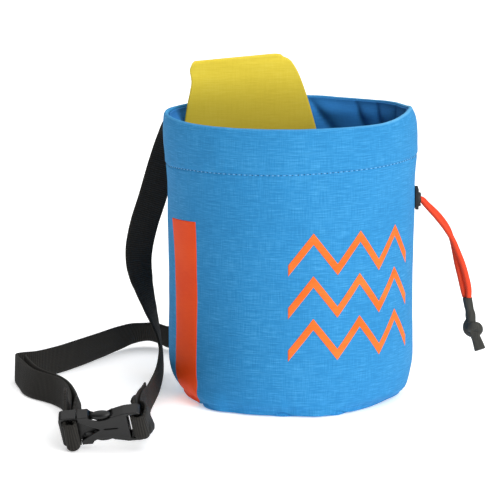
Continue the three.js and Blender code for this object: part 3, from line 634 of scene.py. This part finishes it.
def wallRadius(degrees, height):
    # the cloth's outer face, with its slow dents, the stitched hem and the drawn-in foot
    radius = blendTable(bag["profile"], height)
    arc = math.radians(degrees)
    radius += 0.55 * ruffle(arc, 2.1, height / 34) * smoothStep(4, 30, height)
    radius += 0.16 * ruffle(arc, 6, height / 13 + 7) * smoothStep(4, 20, height)
    footReach = 10 - 5 * math.cos(arc)  # the draw-in reaches higher at the left
    radius += blendTable(bag["footWave"], degrees, 360) * (1 - smoothStep(0.1 * footReach, footReach, height))
    radius += 0.5 * gapAt(degrees) * (1 - smoothStep(4, 12, height))
    pleat = ruffle(arc, 17, height / 40 + 3)
    radius += 0.4 * pleat * (1 - smoothStep(3, 16, height)) * smoothStep(0.5, 4, height)
    away = height - hemHeight(degrees)
    radius -= 0.4 * math.exp(-((away / 0.7) ** 2))
    radius += 0.3 * smoothStep(-0.2, 1.6, away)
    pucker = math.cos(math.radians(degrees) * stitch["count"]) * math.exp(-((away / 1.7) ** 2))
    radius += 0.12 * pucker
    radius += 0.3 * ruffle(arc, 24, height / 9) * math.exp(-(((away + 1) / 8) ** 2))
    below = rimHeight(degrees) - height
    radius -= blendTable(bag["rollIn"], degrees, 360) * math.exp(-max(0.0, below) / 4.4)
    drawn = bag["drawnRight"] * smoothStep(132, 141, height)
    return radius - drawn * math.exp(-((turnFrom(0, degrees) / 32) ** 2))


def wallSpot(degrees, height, proud=0.0):
    radius = wallRadius(degrees, height) + proud
    arc = math.radians(degrees)
    return Vector((radius * math.cos(arc), radius * math.sin(arc), height))


def addWall():
    sides, middle = bag["sides"], bag["middleRows"]
    low, reach = bag["footRows"][-1], bag["hemRows"][-1]
    points, rows = [], 0
    for s in range(sides):
        degrees = 360 * s / sides - 180
        hem, rim = hemHeight(degrees), rimHeight(degrees)
        foot = bag["edgeLow"] + bag["edgeLift"] * min(1.0, gapAt(degrees))
        edge = wallRadius(degrees, foot)
        column = [(edge - 1.3, foot + 0.1), (edge - 0.45, foot - 0.12)]
        thick = blendTable(bag["rollThick"], degrees, 360)
        top, half = rim - thick * 0.5, thick / 2
        heights = [foot + step * (low - foot) / low for step in bag["footRows"]]
        heights += [low + k / middle * (hem - reach - low) for k in range(1, middle + 1)]
        heights += [hem + away for away in bag["hemRows"]]
        heights += [hem + reach + share * (top - hem - reach) for share in bag["topRows"]]
        column += [(wallRadius(degrees, z) - (0.12 if z == foot else 0), z) for z in heights]
        edge = wallRadius(degrees, top)
        for k in range(1, 13):
            turn = math.pi * k / 12
            column.append((edge - half + half * math.cos(turn), top + math.sin(turn) * half))
        for out, down in bag["rollRows"]:
            inner = min(edge - thick + out, wallRadius(degrees, top - down) - bag["thick"])
            column.append((inner, top - down))
        for z in bag["innerRows"]:
            column.append((min(wallRadius(degrees, z) - bag["thick"], bag["innerMost"]), z))
        rows = len(column)
        points += turned(column, math.radians(degrees))
    faces = gridFaces(sides, rows, wrapColumns=True, wrapRows=True)
    wall = makePiece("wall", points, faces, wallCloth, ["bag_wall"])
    # painted highlight along the rim's fold: 0.3 all round, full at the right and front-right where the key
    # light falls, fading within 1.2 mm below the rim
    wearAndHighlight = wall.data.attributes.new("wearAndHighlight", "FLOAT", "POINT")
    for n, (x, y, z) in enumerate(points):
        degrees = math.degrees(math.atan2(y, x))
        paintedLight = 0.3 + 0.7 * smoothStep(-80, -30, degrees) * (1 - smoothStep(10, 60, degrees))
        wearAndHighlight.data[n].value = paintedLight * (1 - smoothStep(0.2, 1.2, rimHeight(degrees) - z))


addWall()
print("wall made")


def capsule(points, faces, centre, ahead, out, length, thick):
    # one short stitch, dipping into the cloth at both ends
    side = ahead.cross(out)
    rings, sides = 7, 6
    faces += ringFaces(rings, sides, len(points), True)
    for n in range(rings):
        share = n / (rings - 1) * 2 - 1
        fat = thick * max(0.12, (1 - abs(share) ** 3) ** 0.5)
        dip = thick * 1.3 * abs(share) ** 2.5
        middle = centre + ahead * (share * length / 2)
        for k in range(sides):
            turn = 2 * math.pi * k / sides
            points.append(middle + out * (math.cos(turn) * fat - dip) + side * (math.sin(turn) * fat))


def addHemStitches():
    for name, material, offset, length, thick, sunk in (
        ("hemStitches", hemThread, 0.5, stitch["length"], stitch["thick"], stitch["sunk"]),
        # the second row is painted shade: dark marks in the stitch holes between the stitches
        ("hemHoleShade", holeShade, 0.0, stitch["holeLength"], stitch["holeThick"], stitch["holeSunk"]),
    ):
        points, faces = [], []
        for n in range(stitch["count"]):
            degrees = 360 * (n + offset) / stitch["count"] - 180
            here = wallSpot(degrees, hemHeight(degrees), -sunk)
            after = wallSpot(degrees + 1, hemHeight(degrees + 1), -sunk)
            ahead = (after - here).normalized()
            out = Vector((math.cos(math.radians(degrees)), math.sin(math.radians(degrees)), 0))
            capsule(points, faces, here, ahead, out, length, thick)
        makePiece(name, points, faces, material)


addHemStitches()


lining = {
    "thick": 0.9,
    "profile": [
        (2.9, 58.5), (5, 60.3), (9, 61.8), (16, 63.2), (40, 64.2), (90, 64.4), (130, 64.9), (150, 65.2),
        (162, 65.3),
    ],
    "plateau": 2.6,
    # creases that run down from the rim: degrees at the rim, lean in degrees over leanOver, depth, then the
    # widths in degrees of the flank toward the next crease and of the one behind
    "creases": [
        (81, 34, 3.4, 4.2, 4.6), (56, 24, 3.2, 3.0, 5.0), (42.5, 24, 3.1, 2.8, 4.2), (24, 6, 2.9, 2.8, 4.2),
        (8, -8, 2.0, 2.6, 4.0), (104, 8, 1.6, 4, 6), (128, 6, 1.8, 4, 6), (158, -4, 2.0, 3, 5),
        (176, 3, 1.6, 3, 4), (200, 5, 1.6, 4, 6), (232, -5, 1.8, 4, 6), (262, 5, 1.6, 4, 6),
        (292, -4, 1.8, 4, 6), (322, 5, 1.6, 4, 6), (345, -5, 1.6, 4, 6),
    ],
    "leanOver": 45.0,
    # rows of points: drops below the rim, scaled so that the last one is the foot
    "drops": [0, 0.5, 1.1, 2, 3, 4.2, 5.6, 7.2, 9]
    + [11 + 2.4 * k for k in range(21)]
    + [62 + 8 * k for k in range(10)]
    + [140, 145, 149, 152],
}


def creaseOut(degrees, down):
    # how far the cloth sinks back into its creases
    depth = 0.0
    for place, lean, deep, ahead, behind in lining["creases"]:
        centre = place - lean * min(2.0, down / lining["leanOver"])
        away = turnFrom(centre, degrees)
        wide = (ahead if away < 0 else behind) * (0.55 + 0.45 * smoothStep(0, 14, down))
        depth += deep * math.exp(-((abs(away) + 0.15) / wide) ** 1.15)
    return min(3.3, depth) * (1 - 0.7 * smoothStep(60, 130, down))


def addLining():
    sides = 480
    drops, foot = lining["drops"], lining["profile"][0][0]
    points = []
    for s in range(sides):
        degrees = 360 * s / sides - 180
        arc = math.radians(degrees)
        rim = rimHeight(degrees)
        thick = blendTable(bag["rollThick"], degrees, 360)
        edge = wallRadius(degrees, rim - thick * 0.5) - thick
        top = rim - thick * 0.5 - 0.3
        outer, inner = [], []
        for drop in drops:
            z = max(foot, top - drop * (top - foot) / drops[-1])
            sunk = creaseOut(degrees, drop)
            radius = blendTable(lining["profile"], z) - lining["plateau"] * smoothStep(0, 12, z) + sunk
            radius += 0.3 * ruffle(arc, 4, z / 30) * smoothStep(5, 30, z)
            near = 1 - smoothStep(0, 8, drop)
            radius += (min(edge + 0.05, 66.6) + 0.22 * min(sunk, 2.6) - radius) * near
            outer.append((radius, z))
            inner.append((radius - lining["thick"], z))
        topRound = [(outer[0][0] - lining["thick"] * 0.5, outer[0][1] + 0.35)]
        points += turned(outer[::-1] + topRound + inner, arc)
    faces = gridFaces(sides, len(drops) * 2 + 1, wrapColumns=True, wrapRows=True)
    makePiece("liningSkin", points, faces, liningCloth, ["lining"])


addLining()
print("lining made")


base = {
    "radius": 60.2,
    "shown": 1.7,  # how much wider it is where the wall lifts
    "thick": 2.8,
    "rings": [10, 20, 30, 38, 44, 48, 51],
    # the rounded edge: out from the radius, and up
    "edge": [
        (-1.5, 0), (-0.7, 0.08), (-0.2, 0.4), (0, 1.0), (0.05, 1.7), (-0.05, 2.3), (-0.25, 2.65), (-0.8, 2.8),
    ],
}


def addBase():
    sides = bag["sides"]
    points = []
    for s in range(sides):
        degrees = 360 * s / sides
        arc = math.radians(degrees)
        edge = base["radius"] + base["shown"] * min(1.0, gapAt(degrees))
        edge += blendTable(bag["footWave"], degrees, 360) + 0.25 * ruffle(arc, 15, 2)
        column = [(r, 0.0) for r in base["rings"]] + [(edge + out, up) for out, up in base["edge"]]
        column += [(r, base["thick"]) for r in reversed(base["rings"])]
        points += turned(column, arc)
    rows = len(column)
    faces = gridFaces(sides, rows, wrapColumns=True)
    under, over = len(points), len(points) + 1
    points += [(0, 0, 0), (0, 0, base["thick"])]
    for s in range(sides):
        nextS = (s + 1) % sides
        faces.append((under, nextS * rows, s * rows))
        faces.append((over, s * rows + rows - 1, nextS * rows + rows - 1))
    makePiece("baseCloth", points, faces, baseCloth, ["base_panel"])


addBase()
print("base made")


sideBand = {
    # its edges: height, degrees
    "left": [(0.7, -179), (4, -172), (8, -165), (12.6, -161), (30, -158.8), (56, -158.5), (101.1, -162.3)],
    "right": [(0.7, -146.5), (4, -144.5), (8, -142), (16, -140), (60, -138.9), (102.7, -139.5)],
    "bottom": 0.75,
    "topLeft": 101.1,
    "topRight": 102.7,
}
zigzag = {
    "from": -92.0,
    "to": -23.5,
    "heights": [89, 66, 43],  # middle of each stripe
    "rise": 8.5,
    "peaks": 3,
    "thick": 6.0,
    "rows": 9,
}


def film(name, spots, columns, rows, material, proud=0.16, sunk=0.12):
    # a printed film on the wall: spots are (degrees, height) by column, then row
    points = [wallSpot(d, z, off) for off in (proud, -sunk) for d, z in spots]
    makePiece(name, points, sheetFaces(columns, rows), material)


def addSideBand():
    columns, rows = 40, 120
    spots = []
    for c in range(columns):
        share = c / (columns - 1)
        top = sideBand["topLeft"] + share * (sideBand["topRight"] - sideBand["topLeft"])
        for r in range(rows):
            z = sideBand["bottom"] + (r / (rows - 1)) * (top - sideBand["bottom"])
            left, right = blendTable(sideBand["left"], z), blendTable(sideBand["right"], z)
            spots.append((left + share * (right - left), z))
    film("sideBand", spots, columns, rows, bandPrint)


def addZigzag():
    steps, rows = zigzag["peaks"] * 32, zigzag["rows"]
    for number, middle in enumerate(zigzag["heights"]):
        spots = []
        for c in range(steps + 1):
            share = c / steps
            degrees = zigzag["from"] + share * (zigzag["to"] - zigzag["from"])
            wave = abs((share * zigzag["peaks"]) % 1 * 2 - 1) * 2 - 1
            for r in range(rows):
                z = middle - wave * zigzag["rise"] + (r / (rows - 1) - 0.5) * zigzag["thick"]
                spots.append((degrees, z))
        film(f"zigzag{number + 1}", spots, steps + 1, rows, frontPrint)


addSideBand()
addZigzag()
print("prints made")


tongue = {
    "flatWidth": 83,
    "thick": 0.9,
    "bottom": 100,
    "height": 80,
    "topRise": 2.7,
    "leftY": 14,
    "rightY": 30,
    "foldRadius": 1.7,
    "lean": 4.0,
    "spread": 3.4,
    "inset": 4,
    # share of the height, left and right edge in mm
    "left": [
        (0, -61.4), (0.172, -61.6), (0.344, -61.6), (0.479, -59.6), (0.598, -58.6), (0.713, -57.2),
        (0.811, -55.6), (0.88, -54.7), (0.93, -55.2), (0.965, -55.6), (1.0, -54.6),
    ],
    "right": [
        (0, 21), (0.172, 19.4), (0.344, 17.2), (0.479, 15), (0.598, 12.4), (0.713, 9.6), (0.811, 6.9),
        (0.897, 4), (0.95, 1.4), (0.98, -0.8), (1.0, -4.6),
    ],
}


def addTongue():
    columns = 70
    rises = [k / 60 for k in range(61)]
    grid = []
    for c in range(columns):
        share = c / (columns - 1)
        lift = share * tongue["topRise"]
        front, rear = [], []
        for rise in rises:
            left, right = blendTable(tongue["left"], rise), blendTable(tongue["right"], rise)
            x = left + share * (right - left)
            z = tongue["bottom"] + rise * (tongue["height"] + lift)
            ripple = 0.9 * noise.noise(Vector((x / 26, z / 34, 4))) * (1 - rise * 0.6)
            drop = min(1.0, (1 - rise) * 2)
            apart = 2 * tongue["foldRadius"] + tongue["spread"] * drop * (0.3 + 0.7 * share)
            y0 = tongue["leftY"] + share * (tongue["rightY"] - tongue["leftY"])
            y0 += tongue["lean"] * (rise**2 - 0.5)
            front.append(Vector((x, y0 + ripple, z)))
            rear.append(Vector((x + tongue["inset"] * (1 - share), y0 + apart + ripple * 0.7, z)))
        crown = []
        cornered = (1 - max(0.0, (share - 0.88) / 0.12) ** 2) ** 0.5  # the fold dies away at its right corner
        for k in range(1, 12):
            turn = math.pi * k / 12
            mix = (1 - math.cos(turn)) / 2
            spot = front[-1].lerp(rear[-1], mix)
            crown.append(Vector((spot.x, spot.y, spot.z + tongue["foldRadius"] * math.sin(turn) * cornered)))
        grid.append(front + crown + rear[::-1])
    rows = len(grid[0])
    points, uv = [], []
    for side in (0.5, -0.5):
        for c in range(columns):
            for r in range(rows):
                across = grid[min(c + 1, columns - 1)][r] - grid[max(c - 1, 0)][r]
                along = grid[c][min(r + 1, rows - 1)] - grid[c][max(r - 1, 0)]
                points.append(grid[c][r] + across.cross(along).normalized() * side * tongue["thick"])
    faces = sheetFaces(columns, rows)
    piece = makePiece("pullTongue", points, faces, tongueCloth, ["pull_tongue"])
    for face in gridFaces(columns, rows):
        a, b, c, d = (points[k] for k in face)


addTongue()


webbing = {
    "width": 16.0,
    "thick": 1.4,
    "rib": 1.15,
    "ribHeight": 0.09,
    "rest": 0.1,  # how far it stays above the surface
    "selvedge": 0.55,  # where the flat face ends, from the edge
    "rounded": 0.12,
}

buckle = {"centre": Vector((-109.9, -134.8, 12.2)), "lean": 33.0, "rise": 6.4, "turn": -3.5}
buckleTurn = Matrix.Rotation(math.radians(buckle["turn"]), 3, "Z")
buckleAlong = Matrix.Rotation(math.radians(-buckle["rise"]), 3, "Y") @ (buckleTurn @ Vector((1, 0, 0)))
buckleAcross = Matrix.Rotation(math.radians(buckle["lean"]), 3, "X") @ Vector((0, 0, 1))
buckleAcross = (buckleAcross - buckleAlong * buckleAcross.dot(buckleAlong)).normalized()
buckleOut = buckleAlong.cross(buckleAcross)


def onBuckle(u, v, n):
    return buckle["centre"] + buckleAlong * u + buckleAcross * v + buckleOut * n


def station(row):
    return Vector(row[:3]), Vector(row[3:]).normalized()


def buckleStation(row):
    u, n, tip = row
    return onBuckle(u, 0, n), buckleAcross.lerp(Vector((0, 0, 1)), tip).normalized()


loop = {
    "width": 25,
    "thick": 1.5,
    "bottom": 108,
    "top": 152,
    "standOff": 7.4,
    "seam": 0.35,
    # shares of its height and of its stand-off
    "run": [
        (0, 0), (0.2, 0.02), (0.27, 0.6), (0.34, 0.96), (0.5, 1), (0.66, 0.96), (0.73, 0.6), (0.8, 0.02),
        (1, 0),
    ],
}
bagBack = 69.9  # the wall's outer face at the back
# the belt's centre line inside the loop, 1.2 mm behind the loop's inner face
beltBack = bagBack + loop["standOff"] - loop["thick"] - loop["seam"] - webbing["thick"] / 2 - 1.2

# x, y, z of the centre line, then the direction of the width
mainRun = [
    (0.2, beltBack, 130, 0, 0, 1), (13, beltBack, 130, 0, 0.1, 1), (26, 77.5, 131.5, 0, 0.6, 0.8),
    (38, 81, 128, 0.3, 0.95, 0.2), (45, 84, 115, 0.05, 1, 0), (47, 87, 90, 0, 1, 0), (47, 89, 60, 0, 1, 0),
    (45, 91, 34, 0, 1, 0), (38, 92, 14, 0, 1, 0), (24, 93, 3.6, 0, 1, 0), (8, 94, 3.8, 0, 0.95, 0.3),
    (-12, 95, 7.6, 0, 0.45, 0.9), (-35, 94.5, 8.5, 0, -0.2, 0.98), (-55, 96.5, 8.6, 0, -0.38, 0.92),
    (-70.5, 102.6, 8.6, 0, -0.48, 0.88), (-76.7, 108, 9.5, 0, -0.56, 0.83), (-83, 111, 10, 0, -0.61, 0.79),
    (-90.4, 109.6, 9.4, 0, -0.55, 0.83), (-99.9, 99.8, 8.4, 0, -0.36, 0.93),
    (-110.1, 81.5, 8.1, 0, -0.21, 0.98), (-122, 59.2, 8.2, -0.04, -0.05, 1), (-132.5, 42, 8.2, -0.03, 0, 1),
    (-143.5, 29.5, 8.2, 0, 0, 1), (-150.2, 26.6, 8.2, 0, 0, 1), (-153.8, 23.6, 8.2, 0.02, 0, 1),
    (-153.2, 17.5, 8.2, 0.06, 0, 0.99), (-149.8, 5, 8.1, 0.14, -0.05, 0.98),
    (-145.8, -9.2, 8.1, 0.22, 0, 0.97), (-141.4, -18.5, 8.1, 0.19, 0, 0.98),
    (-135.1, -26.3, 8.1, 0.16, -0.08, 0.98), (-128.8, -34.2, 8.1, 0.17, -0.12, 0.98),
    (-123.3, -46, 8, 0.13, -0.25, 0.95), (-119.4, -65.6, 8, 0.1, -0.28, 0.95),
    (-117.6, -85.5, 8.3, 0.08, -0.28, 0.95), (-117, -104, 9.1, 0.02, -0.3, 0.95),
]
# along the buckle, out of its face, and the tip of the width toward upright
ladderWrap = [
    (-6.6, -18, 0.3), (-6.1, -8, 0.1), (-6.0, -2.5, 0), (-6.0, 1.4, 0), (-6.5, 4.6, 0.1), (-5.4, 6.5, 0.3),
    (-3.5, 7.0, 0.42), (-1.5, 6.4, 0.3), (-0.6, 4.4, 0.1), (-1.7, 1.8, 0), (-1.8, -2, 0), (-1.5, -6, 0),
    (-0.9, -11, 0.15),
]
tailRun = [
    (-110.9, -104, 9, 0.02, -0.3, 0.95), (-113.9, -81.4, 8.1, 0.05, -0.2, 0.98),
    (-116.7, -64.4, 8.1, 0.06, -0.15, 0.98), (-119.9, -50.2, 8.1, 0.08, -0.12, 0.98),
    (-123.6, -39.5, 8.1, 0.12, -0.1, 0.98), (-128.6, -29.6, 8.1, 0.14, -0.06, 0.98),
    (-133.6, -22.9, 8.1, 0.16, -0.04, 0.98), (-138.2, -15.6, 8.1, 0.17, 0, 0.98),
    (-141.9, -7.6, 8.1, 0.18, 0, 0.98), (-145, 2.5, 8.1, 0.14, 0, 0.98), (-147.4, 12.7, 8.1, 0.08, 0, 0.99),
    (-148.8, 20.3, 8.1, 0.04, 0, 1),
]
fixedRun = [
    (-0.2, beltBack, 130, 0, 0, 1), (-13, beltBack, 130, 0, 0.1, 1), (-27, 78, 132.5, -0.05, 0.5, 0.85),
    (-42, 77, 138, -0.15, 0.85, 0.45), (-55, 69.5, 143, -0.5, 0.8, 0.3),
    (-63, 60.5, 142.6, -0.85, 0.35, 0.25), (-67.3, 54.5, 133.6, -0.95, 0.05, 0.3),
    (-72.1, 52.2, 119.9, -0.94, -0.08, 0.33), (-78, 51, 99.8, -0.97, -0.04, 0.25),
    (-82.3, 49.8, 86.5, -0.97, -0.1, 0.21), (-85.2, 48.2, 73.3, -0.95, -0.23, 0.2),
    (-85.6, 46.8, 64.1, -0.89, -0.42, 0.1), (-84.3, 46.2, 55.8, -0.79, -0.6, 0.08),
    (-82.4, 45.8, 48.5, -0.61, -0.78, 0.08), (-79.4, 45.7, 38.5, -0.4, -0.92, 0.05),
    (-77, 45.8, 30.7, -0.24, -0.96, 0.14), (-74.9, 45.8, 22.7, -0.14, -0.92, 0.38),
    (-73.6, 44.8, 16, -0.12, -0.73, 0.67), (-73.1, 42.2, 12, -0.1, -0.5, 0.86),
    (-72.9, 37.4, 9.4, -0.09, -0.25, 0.96), (-72.9, 27.5, 8.2, -0.07, -0.08, 0.99),
    (-73.4, -4.4, 8.2, -0.03, -0.05, 1), (-74.6, -24.8, 8.1, -0.01, -0.17, 0.99),
    (-76.8, -53.2, 8.2, -0.03, -0.2, 0.98), (-77.3, -76.6, 10, -0.24, -0.2, 0.94),
    (-76.2, -99.6, 12, -0.4, -0.2, 0.88), (-75.4, -115.5, 14.4, -0.34, -0.34, 0.87),
    (-74.6, -127.5, 16.1, -0.2, -0.44, 0.86),
]
femaleWrap = [
    (35.4, 0.2, 0.1), (34.2, 3.9, 0.1), (31.6, 4.7, 0), (29.2, 3.7, 0), (28.1, 1.8, 0), (27.8, -1.2, 0),
    (28.3, -4.0, 0), (29.6, -8.0, 0.1),
]
sewnTab = [
    (-80.4, -116, 14.2, -0.32, -0.34, 0.88), (-80, -104.6, 12.9, -0.36, -0.28, 0.88),
    (-79.4, -90, 11.4, -0.34, -0.22, 0.92), (-79.4, -76.6, 10.2, -0.26, -0.2, 0.94),
    (-79.1, -62, 9, -0.12, -0.2, 0.97), (-78.9, -49.4, 8.2, -0.03, -0.2, 0.98),
]


def ribbon(name, stations, node, width, step=0.35):
    # woven webbing along its stations: rounded selvedges and real cross ribs
    line = [s[0] for s in stations]
    turns = [s[1] for s in stations]
    places, length = evenWalk(line, step)
    half, thin = width / 2, webbing["thick"] / 2
    section = []  # across, out, share of the rib
    for way in (1, -1):
        for k in range(9):
            across = -half + webbing["selvedge"] + (width - 2 * webbing["selvedge"]) * k / 8
            section.append((way * across, way * thin, way * smoothStep(0, 1.2, half - abs(across) - 0.2)))
        corner = way * (half - webbing["rounded"])
        section += [(corner, way * thin * 0.55, 0), (way * half, 0, 0), (corner, -way * thin * 0.55, 0)]
    count, sides = len(places), len(section)
    centres = [splinePoint(line, p) for p in places]
    points = []
    for n, place in enumerate(places):
        ahead = (centres[min(n + 1, count - 1)] - centres[max(n - 1, 0)]).normalized()
        across = splinePoint(turns, place, False, 0.3)
        across = (across - ahead * across.dot(ahead)).normalized()
        out = ahead.cross(across)
        centre = centres[n].copy()
        down = (abs(across.z) * width + abs(out.z) * webbing["thick"]) / 2
        centre.z = max(centre.z, down + webbing["rest"])
        rib = math.cos(2 * math.pi * n * (length / (count - 1)) / webbing["rib"]) * webbing["ribHeight"]
        for a, o, share in section:
            points.append(centre + across * a + out * (o + rib * share))
    uv = ringUv(count, length, [a * mm for a, o, share in section + section[:1]])
    faces = ringFaces(count, sides)
    print("webbing:", name, round(length, 1), "mm,", len(faces), "faces")
    makePiece(name, points, faces, blackWebbing, [node], uv)


beltMain = [*map(station, mainRun), *map(buckleStation, ladderWrap), *map(station, tailRun)]
beltFixed = [*map(station, fixedRun), *map(buckleStation, femaleWrap), *map(station, sewnTab)]
ribbon("beltMain", beltMain, "belt_main", webbing["width"])
ribbon("beltFixed", beltFixed, "belt_fixed", webbing["width"])


def addLoop():
    foot = bagBack + loop["seam"] + loop["thick"] / 2
    stations = []
    for rise, out in loop["run"]:
        y = foot + out * (loop["standOff"] - loop["thick"])
        z = loop["bottom"] + rise * (loop["top"] - loop["bottom"])
        stations.append((Vector((0, y, z)), Vector((1, 0, 0))))
    ribbon("beltLoop", stations, "belt_loop", loop["width"], 0.45)


addLoop()


def dressCad(node, name, material, voxel, rounds):
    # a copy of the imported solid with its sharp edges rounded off
    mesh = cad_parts[node].data.copy()
    mesh.materials.clear()
    mesh.materials.append(material)
    piece = bpy.data.objects.new(name, mesh)
    bpy.context.scene.collection.objects.link(piece)
    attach(piece, "root")
    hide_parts(node)
    melt(piece, voxel, rounds)


dressCad("buckle_male", "buckleMale", buckleAcetal, 0.22, 12)
dressCad("buckle_female", "buckleFemale", buckleAcetal, 0.22, 12)
dressCad("cord_guide", "cordGuide", guideAcetal, 0.16, 5)


pressPad = {"along": 12.4, "apart": 7.9, "out": 0.2, "half": (5.5, 1.75, 2.7)}  # mm from the buckle's centre


def addPressPads():
    # the male half's arms swell out through the body's side openings
    points, faces = [], []
    rings, sides = 17, 32
    for side in (1, -1):
        faces += ringFaces(rings, sides, len(points))[:-2]  # no caps: its ends close to a point
        for i in range(rings):
            lat = math.pi * (i / (rings - 1) - 0.5)
            for k in range(sides):
                turn = 2 * math.pi * k / sides
                u = pressPad["along"] + pressPad["half"][0] * math.cos(lat) * math.cos(turn)
                v = side * (pressPad["apart"] + pressPad["half"][1] * math.cos(lat) * math.sin(turn))
                n = pressPad["out"] + pressPad["half"][2] * math.sin(lat)
                points.append(onBuckle(u, v, n))
    makePiece("buckleMalePads", points, faces, buckleAcetal)


addPressPads()
print("buckle and guide made")


def addFloor():
    mesh = bpy.data.meshes.new("floor")
    mesh.from_pydata([(-9, -9, 0), (9, -9, 0), (9, 9, 0), (-9, 9, 0)], [], [(0, 1, 2, 3)])
    floor = bpy.data.objects.new("floor", mesh)
    bpy.context.scene.collection.objects.link(floor)
    floor.location.z = -0.0001
    material, tree, shader = newMaterial("paintedFloor", 0.9, 0.1)
    shader.inputs["Base Color"].default_value = linear("#fafafa")
    shader.inputs["Emission Color"].default_value = linear("#ffffff")
    shader.inputs["Emission Strength"].default_value = 0.38  # lit from below a little, as on a light table
    material.cycles.emission_sampling = "NONE"
    mesh.materials.append(material)


def sunLight(name, azimuth, elevation, spread, power):
    # azimuth in the bag's frame and elevation say where the light comes from; spread is its width in degrees
    data = bpy.data.lights.new(name, "SUN")
    data.angle = math.radians(spread)
    data.energy = power
    light = bpy.data.objects.new(name, data)
    around, up = math.radians(azimuth), math.radians(elevation)
    toward = Vector((math.cos(up) * math.cos(around), math.cos(up) * math.sin(around), math.sin(up)))
    light.rotation_mode = "QUATERNION"
    light.rotation_quaternion = (-toward).to_track_quat("-Z", "Y")
    bpy.context.scene.collection.objects.link(light)


addFloor()
sunLight("keyLight", -50, 30, 50, 2.65)
sunLight("topLight", 80, 80, 90, 2.0)
world = bpy.data.worlds.new("studio")
world.use_nodes = True
world.node_tree.nodes["Background"].inputs["Color"].default_value = (1, 1, 1, 1)
world.node_tree.nodes["Background"].inputs["Strength"].default_value = 0.1
bpy.context.scene.world = world
bpy.context.scene.view_settings.view_transform = "Standard"
